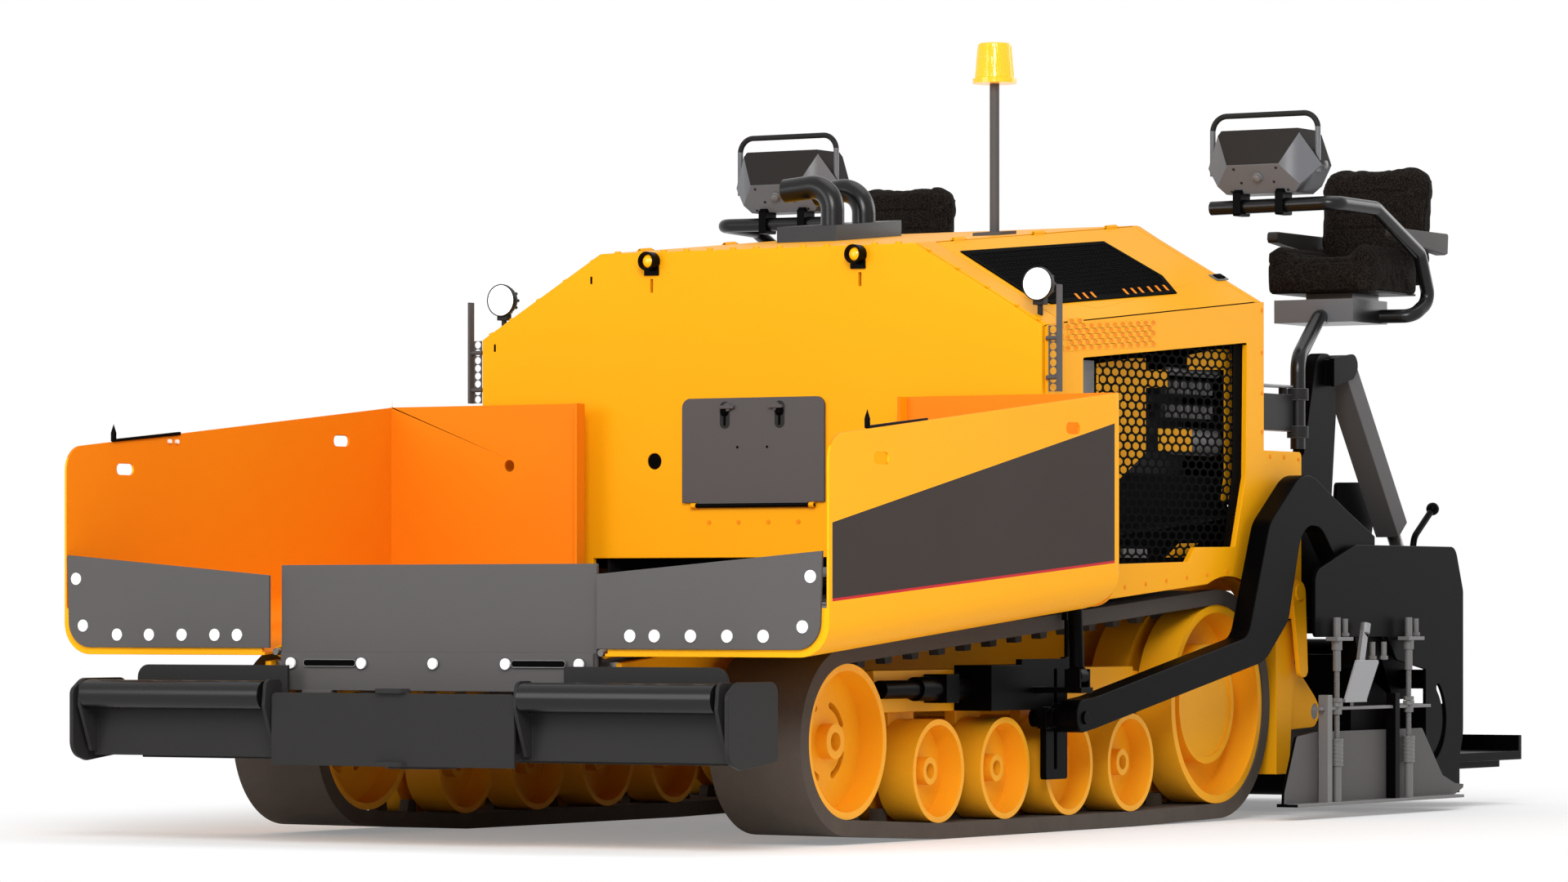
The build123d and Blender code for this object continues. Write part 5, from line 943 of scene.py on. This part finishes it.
# a black plate under the screen, painted shade of the opening below it
buildPiece("lid_screen_shade_{}", "mesh", "hood_lid_{}", 0.0, [lidPlate(screen["edge"], 0.0010, 0.0008)])
buildPiece("lid_screen_rim_{}", "mesh", "hood_lid_{}", 0.001, rimPlates)
slantPlane = (Matrix.Translation(lidPoint(0, screen["originY"], screen["lift"]))
              @ Matrix((alongX, alongY, slantNormal)).transposed().to_4x4())
screenHoles = [(x / alongX.x, (y - screen["originY"]) / alongY.y)
               for x, y in staggered(rimInside, screen["firstHole"], screenSheet)]
for side, word in sides:
    sheet = setShapes(f"lid_screen_{word}", screenHoles, webTree, screenSheet, "mesh", f"hood_lid_{word}",
                      matrix=slantPlane)
    if side < 0:
        flipToRight(sheet.data)
slots = [[(x + dx, screen["slotY"] + dy) for dx, dy in screen["slot"]] for x in screen["slotXs"]]
# darker orange plates in the slots, painted shade inside them
buildPiece("lid_slot_shades_{}", "deep", "hood_lid_{}", 0.0,
           [lidPlate(outline, 0.004, 0.002) for outline in slots])
latchMiddle = (lidLatch["x"], lidLatch["y"])
latchEdge = roundedOutline(lidLatch["length"], lidLatch["width"], lidLatch["corner"], middle=latchMiddle)
handleEdge = scaled(latchEdge, (lidLatch["handle"], lidLatch["handle"]), latchMiddle)
buildPiece("lid_latch_plate_{}", "zinc", "chassis", 0.001, [lidPlate(latchEdge, 0.0002, 0.004)])
buildPiece("lid_latch_{}", "mesh", "chassis", 0.001, [lidPlate(handleEdge, 0.004, 0.006)])
print("lid screens set")


# hood front: amber lamps, door latches and small marks

amberLamp = {"y": 0.441, "z": 2.080, "outer": 0.035, "inner": 0.027, "depth": 0.046, "lens": 0.0245}
outer, inner, depth, lens = (amberLamp[key] for key in ("outer", "inner", "depth", "lens"))
lampPlace = (hoodX, amberLamp["y"], amberLamp["z"])
lampFoot = [Vector(lampPlace) + Vector(reach) for reach in ((0, -0.03, -0.052), (0.010, 0.03, -0.02))]
buildPiece("lamp_housings", "black", "chassis", 0.001, [
    (addLathe, [(outer, 0), (outer, depth), (inner, depth), (inner, 0.004)], lampPlace, ahead, 28, True),
    (addBlock, *lampFoot),
], twin=True)
lensProfile = [(lens, 0.004), (lens, 0.026), (lens * 0.8, 0.034), (lens * 0.4, 0.038), (0, 0.039)]
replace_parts(buildPiece("lamp_lenses", "amber", "chassis", 0.0,
                       [(addLathe, lensProfile, lampPlace, ahead, 24)], twin=True), "hood_lamps")

doorLatch = {"x": 0.8274, "ys": (-0.118, 0.116), "z": 1.507, "width": 0.042, "height": 0.100,
             "corner": 0.020,
             "knob": [(0.017, 0), (0.017, 0.004), (0.012, 0.010), (0, 0.011)], "screwYs": (-0.064, 0.063),
             "screwZ": 1.389}
doorX, latchZ = doorLatch["x"], doorLatch["z"]
buildPiece("door_latch_plates", "satin", "hood_door", 0.0005, [
    (addFrontPlate, roundedOutline(doorLatch["width"], doorLatch["height"], doorLatch["corner"],
                                   middle=(y, latchZ)),
     doorX, 0.0012) for y in doorLatch["ys"]])
latchParts = []
for y in doorLatch["ys"]:
    latchParts.append((addLathe, doorLatch["knob"], (doorX + 0.001, y, latchZ + 0.012), ahead, 20))
    latchParts.append((addBlock, (doorX + 0.001, y - 0.004, latchZ - 0.038),
                       (doorX + 0.005, y + 0.004, latchZ - 0.006)))
for y in doorLatch["screwYs"]:
    latchParts.append((addRod, (doorX, y, doorLatch["screwZ"]), (doorX + 0.0015, y, doorLatch["screwZ"]),
                       0.005, 12))
buildPiece("door_latches", "mesh", "hood_door", 0.0005, latchParts)
hoodMarks = {"slits": ((-0.708, 2.018), (-1.138, 1.776)), "half": (0.004, 0.014), "hole": (-0.432, 1.342),
             "holeRadius": 0.0298}
halfY, halfZ = hoodMarks["half"]
# black slits, and a black disk set back in a hole as painted shade inside it
buildPiece("hood_marks", "mesh", "chassis", 0.0, [
    (addBlock, (hoodX, y - halfY, z - halfZ), (hoodX + 0.0012, y + halfY, z + halfZ))
    for y, z in hoodMarks["slits"]
] + [(addRod, (hoodX - 0.02, *hoodMarks["hole"]), (hoodX - 0.005, *hoodMarks["hole"]),
      hoodMarks["holeRadius"], 24)])


# headlights

headLow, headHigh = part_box("headlights")
headlight = {
    # profiles are radius as a share of the lamp's, and distance forward in metres
    "place": Vector((0.737, 1.147, headHigh.z - 0.056)), "radius": 0.061, "fins": 10, "finRing": 0.72,
    "shell": [(0, -0.037), (0.45, -0.034), (0.86, -0.012), (1, 0.014), (1, 0.026), (0.94, 0.027),
              (0.94, 0.012), (0, 0.010)],
    "dome": [(0.93, 0.013), (0.93, 0.024), (0.80, 0.034), (0.5, 0.041), (0, 0.044)],
}
place, size = headlight["place"], headlight["radius"]
shellProfile = [(share * size, reach) for share, reach in headlight["shell"]]
domeProfile = [(share * size, reach) for share, reach in headlight["dome"]]
footTop = place - Vector((0, 0, size * 0.6))
shellParts = [
    (addLathe, shellProfile, place, ahead, 32),
    (addRod, (place.x, place.y, headLow.z + 0.004), footTop, 0.010, 14),
    (addBlock, place + Vector((-0.016, -0.022, -size - 0.014)),
     place + Vector((0.016, 0.022, -size + 0.012))),
]
for step in range(headlight["fins"]):
    turn = 2 * math.pi * step / headlight["fins"]
    fin = place + Vector((0, math.cos(turn), math.sin(turn))) * size * headlight["finRing"]
    shellParts.append((addRod, fin - Vector((0.030, 0, 0)), fin - Vector((0.004, 0, 0)), 0.006, 8))
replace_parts(buildPiece("headlight_shells", "satin", "chassis", 0.0008, shellParts, twin=True), "headlights")
buildPiece("headlight_lenses", "lampWhite", "chassis", 0.0, [(addLathe, domeProfile, place, ahead, 32)],
           twin=True)
print("lamps set")


# beacon: a ribbed lens over a dark foot

lensLow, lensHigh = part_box("beacon_lens")
beacon = {"foot": 0.082, "waist": 0.072, "top": 0.062, "ribs": 30, "ribRadius": 0.0028, "sunk": 0.0015}
beaconFoot = Vector(((lensLow.x + lensHigh.x) / 2, (lensLow.y + lensHigh.y) / 2, lensLow.z))
foot, waist, top, height = beacon["foot"], beacon["waist"], beacon["top"], lensHigh.z - lensLow.z
beaconProfile = [(0, 0), (foot, 0), (foot, 0.018), (waist, 0.022), (top, height - 0.006),
                 (top - 0.006, height), (0, height)]
beaconParts = [(addLathe, beaconProfile, beaconFoot, upward, 48)]
for step in range(beacon["ribs"]):
    turn = 2 * math.pi * step / beacon["ribs"]
    ends = [beaconFoot + Vector((reach * math.cos(turn), reach * math.sin(turn), z))
            for reach, z in ((waist - beacon["sunk"], 0.024), (top - beacon["sunk"], height - 0.012))]
    beaconParts.append((addRod, *ends, beacon["ribRadius"], 6))
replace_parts(buildPiece("beacon_glass", "amber", "chassis", 0.0, beaconParts), "beacon_lens")


# bolts, hooks and slots on the hopper

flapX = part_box("wing_flap_left")[1].x
flapBolts = {
    # y, z on the flap's face
    "row": [(0.797, 0.708), (0.892, 0.708), (1.032, 0.708), (1.172, 0.708), (1.310, 0.708), (1.458, 0.739),
            (1.488, 0.902)],
    "head": (0.021, 0.008, 16, 0.3),
}
wingHook = {"x": 2.286, "top": 1.418, "y": 1.532, "width": 0.014, "spike": (2.634, 1.538, 1.385),
            "spikeShape": [(0, 0), (0.010, 0.004), (0.010, 0.034), (0, 0.066)], "pins": (-0.022, 0.022),
            "pinY": (1.530, 1.548), "pinRadius": 0.008}
hookX, hookTop = wingHook["x"], wingHook["top"]
spikeX, spikeZ = wingHook["spike"][0], wingHook["spike"][2]
hookBar = [(spikeX - 0.005, spikeZ + 0.002), (hookX - 0.04, hookTop + 0.002),
           (hookX - 0.04, hookTop + 0.014), (spikeX - 0.005, spikeZ + 0.012)]
setBolts("flap_bolts_{}", [(flapX, y, z) for y, z in flapBolts["row"]], ahead, "bolt", "wing_{}",
         *flapBolts["head"])
buildPiece("wing_hook_{}", "black", "wing_{}", 0.001, [
    (addLathe, wingHook["spikeShape"], wingHook["spike"], upward, 12),
    (addSidePlate, hookBar, wingHook["y"], wingHook["width"]),
])
buildPiece("wing_hook_pin_{}", "bolt", "wing_{}", 0.001, [
    (addRod, *[(hookX + reach, y, hookTop - 0.022) for y in wingHook["pinY"]], wingHook["pinRadius"], 12)
    for reach in wingHook["pins"]])
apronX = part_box("hopper_apron")[1].x
apronBolts = {"pitch": 0.2925, "z": 0.613, "head": (0.019, 0.008, 16, 0.3)}
setBolts("apron_bolts", [(apronX, apronBolts["pitch"] * n, apronBolts["z"]) for n in range(-2, 3)],
         ahead, "bolt", "chassis", *apronBolts["head"])
apronSlot = {"y": 0.424, "z": 0.614, "length": 0.212, "height": 0.020}


def slotPlate(grow, lift):
    length, height = apronSlot["length"] + grow, apronSlot["height"] + grow
    outline = roundedOutline(length, height, height / 2 - 0.0005, middle=(apronSlot["y"], apronSlot["z"]))
    return addFrontPlate, outline, apronX - 0.0005, lift + 0.0005


# flat black capsules for the slots, painted shade of their recesses, with a lighter grey ring round each
buildPiece("apron_slot_shades", "mesh", "chassis", 0.0, [slotPlate(0.0, 0.0014)], twin=True)
buildPiece("apron_slot_rims", "zinc", "chassis", 0.0, [slotPlate(0.006, 0.0008)], twin=True)


# bolts on the hood

hoodBolts = {
    "doorYs": [-0.194, -0.067, 0.060, 0.187], "doorZ": 1.115,
    "topYs": [0.10 * count for count in range(-6, 7)],
    "topX": 0.799, "topLift": 0.002, "roofY": 0.674, "slantYs": (0.72, 0.84, 0.96, 1.08, 1.17),
    "skirt": [(0.202 - 0.164 * n, 0.876 + 0.0124 * n) for n in range(6)],
    "rear": [(-0.912, 1.931), (-0.912, 1.770), (-0.912, 1.616), (-0.912, 1.470), (-1.225, 1.372),
             (-1.10, 1.378), (-0.98, 1.378)],
}
topX = hoodBolts["topX"]
roofZ = (hoodLine["eave"] + hoodBolts["topLift"] + hoodLine["rise"] * (hoodX - topX)
         + hoodLine["fall"] * (sideY - hoodBolts["roofY"]))
# the bolts on the hood front and sides are a darker orange: painted shade round their heads
setBolts("hood_front_bolts", [(hoodX, y, hoodBolts["doorZ"]) for y in hoodBolts["doorYs"]], ahead, "deep",
         "chassis", height=0.005)
setBolts("hood_top_bolts", [(topX, y, roofZ) for y in hoodBolts["topYs"]], upward, "orange", "chassis",
         0.012, 0.010)
setBolts("hood_slant_bolts_{}", [lidPoint(topX - 0.01, y, 0.001) for y in hoodBolts["slantYs"]], slantNormal,
         "orange", "chassis")
setBolts("hood_side_bolts_{}", [(x, sideY, z) for x, z in hoodBolts["skirt"] + hoodBolts["rear"]], outward,
         "deep", "chassis", height=0.004)
print("bolts set")


# end gates: springs, threads, studs and the stop plate's bolt

jack = {
    "xs": (-1.165, -1.805), "y": 1.3973, "body": "extension_{}", "springZ": 0.205, "threadZ": 0.302,
    "spring": {"Radius": 0.0215, "Height": 0.088, "Turns": 6.0, "Wire": 0.0038},
    "thread": {"Radius": 0.0092, "Height": 0.255, "Turns": 34.0, "Wire": 0.0022},
    "studs": ((-1.262, 0.690), (-1.897, 0.690), (-1.606, 0.600), (-1.504, 0.600)), "studY": 1.385,
    "studHeight": 0.070, "studRadius": 0.011, "studNut": (0.017, 0.014),
    # radius, height, foot and sides of the nuts and collars on each jack
    "rings": ((0.021, 0.016, 0.441, 6), (0.019, 0.018, 0.395, 6), (0.025, 0.006, 0.296, 18),
              (0.025, 0.006, 0.199, 18)),
}


def addRing(work, side, radius, height, place, corners):
    addLathe(work, side, [(radius, 0), (radius, height)], place, upward, corners)


jackParts = []
for x, z in jack["studs"]:
    jackParts.append((addRod, (x, jack["studY"], z), (x, jack["studY"], z + jack["studHeight"]),
                      jack["studRadius"], 14))
    jackParts.append((addRing, *jack["studNut"], (x, jack["studY"], z + 0.002), 6))
for x in jack["xs"]:
    for radius, height, foot, corners in jack["rings"]:
        jackParts.append((addRing, radius, height, (x, jack["y"], foot), corners))
for part in ("spring", "thread"):
    setCoils(f"jack_{part}s_{{}}", [(x, jack["y"], jack[f"{part}Z"]) for x in jack["xs"]], "zinc",
             jack["body"], jack[part])
buildPiece("jack_nuts_{}", "zinc", jack["body"], 0.0008, jackParts)
print("end gates dressed")


# seats: stuffed cushions under cloth, with their seams pressed in, and padded armrests

seatLow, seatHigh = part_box("seat_left")
seatMiddle = 1.085
seatCloth = {"voxel": 0.007, "pressure": 4.0, "frames": 20, "cap": 0.024}
cushionForm = {
    "x": (-2.100, -1.617), "halfWidth": 0.238, "low": 2.038, "top": 2.158, "corner": 0.055, "rest": 2.036,
    "bolster": 0.046, "bolsterFoot": 2.1, "bolsterRise": 0.04, "bolsterStart": 0.45, "bolsterRun": 0.3,
    "sink": 0.15, "seamZ": 2.152, "panel": 0.148, "crossSeams": ((-1.735, 1), (-1.820, 0.8), (-1.905, 0.8)),
    "depth": 0.0045, "width": 0.005,
}
backForm = {
    "foot": (-2.098, 2.070), "head": (-2.150, 2.562), "thickness": 0.090, "halfWidth": 0.240,
    "corner": 0.095,
    "lowCorner": 0.040, "channels": (2.453, 2.374, 2.311), "panel": 0.150, "depth": 0.006, "width": 0.0055,
    "edgeSeam": 0.018,
}
backLean = (backForm["head"][0] - backForm["foot"][0]) / (backForm["head"][1] - backForm["foot"][1])


def stuffed(mesh):  # the closed form blown up as a cloth skin, then smoothed once
    pad = bpy.data.objects.new(mesh.name, mesh)
    bpy.context.scene.collection.objects.link(pad)
    worked(pad, "REMESH", mode="VOXEL", voxel_size=seatCloth["voxel"])
    still = [vertex.co.copy() for vertex in pad.data.vertices]
    filling = pad.modifiers.new("filling", "CLOTH")
    filling.settings.use_pressure = True
    filling.settings.uniform_pressure_force = seatCloth["pressure"]
    filling.settings.effector_weights.gravity = 0.0
    filling.point_cache.frame_start = 1
    filling.point_cache.frame_end = seatCloth["frames"]
    for number in range(1, seatCloth["frames"] + 1):
        bpy.context.scene.frame_set(number)
    bakeModifiers(pad)
    for vertex, start in zip(pad.data.vertices, still):
        move = vertex.co - start
        if move.length > seatCloth["cap"]:
            vertex.co = start + move * (seatCloth["cap"] / move.length)
    bpy.context.scene.frame_set(1)
    worked(pad, "SUBSURF", levels=1, render_levels=1)
    mesh = pad.data
    bpy.data.objects.remove(pad)
    return mesh


def groove(away, form):
    return math.exp(-(away / form["width"]) ** 2)


def pressSeams(mesh, form, seamAt):
    moves = [vertex.normal * -seamAt(vertex.co, vertex.normal) * form["depth"] for vertex in mesh.vertices]
    for vertex, move in zip(mesh.vertices, moves):
        vertex.co += move


def cushionSeams(place, normal):
    form = cushionForm
    across = abs(place.y - seatMiddle)
    seams = [0]
    if abs(normal.z) < 0.8:
        seams.append(groove(place.z - form["seamZ"], form))
    if normal.z > 0.35:
        seams.append(groove(across - form["panel"], form))
        if across < form["panel"]:
            seams.extend(share * groove(place.x - x, form) for x, share in form["crossSeams"])
    return max(seams)


def backSeams(place, normal):
    form = backForm
    across = abs(place.y - seatMiddle)
    if abs(normal.x) <= 0.35:
        middle = form["foot"][0] + backLean * (place.z - form["foot"][1]) - form["thickness"] / 2
        return groove(place.x - middle - form["edgeSeam"], form)
    if normal.x < 0:
        return 0
    seams = [groove(across - form["panel"], form)]
    if across < form["panel"]:
        seams.extend(groove(place.z - height, form) for height in form["channels"])
    return max(seams)


def keepWithin(mesh, low, high):
    for vertex in mesh.vertices:
        for axis in range(3):
            vertex.co[axis] = min(max(vertex.co[axis], low[axis]), high[axis])
    return mesh


def cushionMesh():
    form = cushionForm
    work = bmesh.new()
    edge = roundedOutline(form["x"][1] - form["x"][0], form["halfWidth"] * 2, form["corner"], 6,
                          (sum(form["x"]) / 2, seatMiddle))
    addPrism(work, 1, [(x, y, form["low"]) for x, y in edge], (0, 0, form["top"] - form["low"]))
    mesh = stuffed(meshFrom(work, "cushion"))
    for vertex in mesh.vertices:  # side bolsters rise, and the underside rests on its pan
        across = abs(vertex.co.y - seatMiddle) / form["halfWidth"]
        if vertex.co.z > form["bolsterFoot"]:
            lift = min(1.0, (vertex.co.z - form["bolsterFoot"]) / form["bolsterRise"]) * form["bolster"]
            share = min(1.0, max(0.0, (across - form["bolsterStart"]) / form["bolsterRun"]))
            vertex.co.z += lift * (share - form["sink"])
        vertex.co.z = max(vertex.co.z, form["rest"])
    mesh.update()
    pressSeams(mesh, form, cushionSeams)
    return keepWithin(mesh, seatLow, seatHigh)


def backMesh():
    form = backForm
    (footX, footZ), headZ = form["foot"], form["head"][1]
    edge = []
    for quarter, (sign, up) in enumerate(((1, True), (-1, True), (-1, False), (1, False))):
        cut = form["corner"] if up else form["lowCorner"]
        inner = headZ - cut if up else footZ + cut
        for step in range(8):
            turn = math.pi / 2 * (quarter + step / 7)
            edge.append((sign * (form["halfWidth"] - cut) + cut * math.cos(turn),
                         inner + cut * math.sin(turn)))
    work = bmesh.new()
    points = [(footX + backLean * (z - footZ), seatMiddle + y, z) for y, z in edge]
    addPrism(work, 1, points, (-form["thickness"], 0, 0))
    mesh = stuffed(meshFrom(work, "backrest"))
    pressSeams(mesh, form, backSeams)
    return keepWithin(mesh, seatLow, seatHigh)


seatForms = {"cushion": cushionMesh(), "backrest": backMesh()}
for side, word in sides:
    for part, source in seatForms.items():
        mesh = source.copy()
        if side < 0:
            flipToRight(mesh)
        mesh.materials.clear()
        pad = addPiece(f"seat_{part}_{word}", mesh, "seat", f"station_{word}")
        for polygon in mesh.polygons:
            polygon.use_smooth = True
        if part == "cushion":
            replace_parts(pad, f"seat_{word}")
armrest = {
    "ys": (0.805, 1.319), "width": 0.046,
    "outline": [(-1.765, 2.243), (-1.756, 2.256), (-1.758, 2.278), (-1.768, 2.286), (-2.238, 2.286),
                (-2.246, 2.278), (-2.240, 2.206), (-2.215, 2.200)],
    "barXs": (-2.19, -2.12), "barY": (0.81, 1.36), "barZ": 2.232, "barRadius": 0.011,
}
seatPan = [((-2.09, 0.875, 2.034), (-1.66, 1.295, 2.042)), ((-2.215, 0.99, 2.045), (-2.08, 1.18, 2.075))]
armPads = [(addSidePlate, armrest["outline"], y, armrest["width"]) for y in armrest["ys"]]
armBars = [(addRod, *[(x, y, armrest["barZ"]) for y in armrest["barY"]], armrest["barRadius"], 12)
           for x in armrest["barXs"]]
buildPiece("seat_arms_{}", "vinyl", "station_{}", 0.004, armPads + armBars)
buildPiece("seat_pan_{}", "satin", "station_{}", 0.002, [(addBlock, *corners) for corners in seatPan])
print("seats made")


# consoles: the knobs, and bolts on the front facet

facet = {
    "foot": Vector((-1.175, 0, 2.395)), "rim": Vector((-1.100, 0, 2.500)), "knobAt": (0.076, 1.078),
    "knob": [(0.020, 0), (0.020, 0.005), (0.016, 0.007), (0.016, 0.016), (0.011, 0.020), (0, 0.021)],
    "sideKnob": [(0.017, 0), (0.017, 0.006), (0.010, 0.009), (0, 0.009)],
    "sideKnobAt": (-1.25, 1.306, 2.500),
    "bolts": ((0.112, 0.985), (0.112, 1.165), (0.05, 1.001), (0.05, 1.14), (0.012, 0.95), (0.012, 1.19)),
}
facetUp = (facet["rim"] - facet["foot"]).normalized()
facetNormal = Vector((facetUp.z, 0, -facetUp.x))


def onFacet(reach, y):
    return facet["foot"] + facetUp * reach + Vector((0, y, 0))


buildPiece("console_knob_{}", "zinc", "station_{}", 0.0008, [
    (addLathe, facet["knob"], onFacet(*facet["knobAt"]) + facetNormal * 0.0005, facetNormal, 20),
    (addLathe, facet["sideKnob"], facet["sideKnobAt"], outward, 18),
])
setBolts("console_bolts_{}", [onFacet(*place) for place in facet["bolts"]], facetNormal, "satin",
         "station_{}", 0.006, 0.003)
print("consoles dressed")


# camera, lights and floor

photo = {"width": 1919, "height": 1080, "focal": 7461.0, "horizonRow": 746.74, "turn": math.radians(31.0),
         "eye": (19.847, 11.563, 0.794)}
studioFloor = {"reach": 60, "shadowSize": (3.6, 2.2),
               "glow": {"From Min": 0.9, "From Max": 1.6, "To Min": 0.25, "To Max": 1.0}}


def addToScene(name, data):
    holder = bpy.data.objects.new(name, data)
    bpy.context.scene.collection.objects.link(holder)
    return holder


def makeCamera():
    camera = bpy.data.cameras.new("camera")
    camera.sensor_width = 36
    camera.lens = photo["focal"] * camera.sensor_width / photo["width"]
    camera.shift_y = (photo["horizonRow"] - photo["height"] / 2) / photo["width"]
    camera.clip_end = 200
    holder = addToScene("camera", camera)
    holder.location = photo["eye"]
    holder.rotation_euler = (math.pi / 2, 0, math.pi / 2 + photo["turn"])
    bpy.context.scene.camera = holder


def seenDirectly(tree):  # 1 for rays from the camera, mirrors and glass
    path = addNode(tree, "ShaderNodeLightPath").outputs
    seen = addMath(tree, "MAXIMUM", path["Is Camera Ray"], path["Is Glossy Ray"])
    return addMath(tree, "MAXIMUM", seen, path["Is Transmission Ray"])


def makeFloor():  # pale near the object, where its shadow falls, and plain white further out
    mesh = bpy.data.meshes.new("floor")
    reach = studioFloor["reach"]
    mesh.from_pydata([(-reach, -reach, 0), (reach, -reach, 0), (reach, reach, 0), (-reach, reach, 0)], [],
                     [(0, 1, 2, 3)])
    floor = addToScene("floor", mesh)
    material, tree, shader = newMaterial("floorWhite")
    fillInputs(tree, shader, {"Base Color": (0.93, 0.93, 0.93, 1), "Roughness": 0.9,
                              "Specular IOR Level": 0.1})
    glow = addNode(tree, "ShaderNodeEmission", {"Color": (1, 1, 1, 1), "Strength": 1.0})
    place = addNode(tree, "ShaderNodeTexCoord").outputs["Object"]
    shadowX, shadowY = studioFloor["shadowSize"]
    squeeze = addNode(tree, "ShaderNodeMapping", {"Vector": place, "Scale": (1 / shadowX, 1 / shadowY, 1)})
    away = addNode(tree, "ShaderNodeVectorMath", {0: squeeze}, operation="LENGTH").outputs["Value"]
    far = addNode(tree, "ShaderNodeMapRange", {"Value": away, **studioFloor["glow"]}, clamp=True,
                  interpolation_type="SMOOTHSTEP")
    share = addMath(tree, "MULTIPLY", far, seenDirectly(tree))
    mixed = addNode(tree, "ShaderNodeMixShader", {0: share, 1: shader, 2: glow})
    fillInputs(tree, tree.nodes["Material Output"], {"Surface": mixed})
    mesh.materials.append(material)


def makeWorld():
    world = bpy.data.worlds.new("studio")
    bpy.context.scene.world = world
    world.use_nodes = True
    tree = world.node_tree
    light = fillInputs(tree, tree.nodes["Background"], {"Color": (1, 1, 1, 1), "Strength": 0.6})
    backdrop = addNode(tree, "ShaderNodeBackground", {"Color": (1, 1, 1, 1), "Strength": 1.0})
    mixed = addNode(tree, "ShaderNodeMixShader", {0: seenDirectly(tree), 1: light, 2: backdrop})
    fillInputs(tree, tree.nodes["World Output"], {"Surface": mixed})


lampTable = {
    # name: place, aim, size, watts
    "key": ((12, 6.5, 7), (0.5, 0, 1.0), 6, 1320),
    "fill": ((13, -5, 4), (0, 0, 1.0), 7, 420),
    "top": ((-2, 2, 11), (-0.5, 0, 1.0), 8, 230),
    "back": ((-11, 5, 5), (-1, 0, 1.0), 6, 260),
}


def makeLamps():
    for name, (place, aim, size, watts) in lampTable.items():
        lamp = bpy.data.lights.new(name, "AREA")
        lamp.shape = "DISK"
        lamp.size = size
        lamp.energy = watts
        holder = addToScene(name, lamp)
        holder.location = place
        holder.rotation_euler = (Vector(aim) - Vector(place)).to_track_quat("-Z", "Y").to_euler()


makeCamera()
makeFloor()
makeWorld()
makeLamps()
bpy.context.scene.view_settings.view_transform = "Standard"
print("studio ready")

bpy.context.view_layer.update()
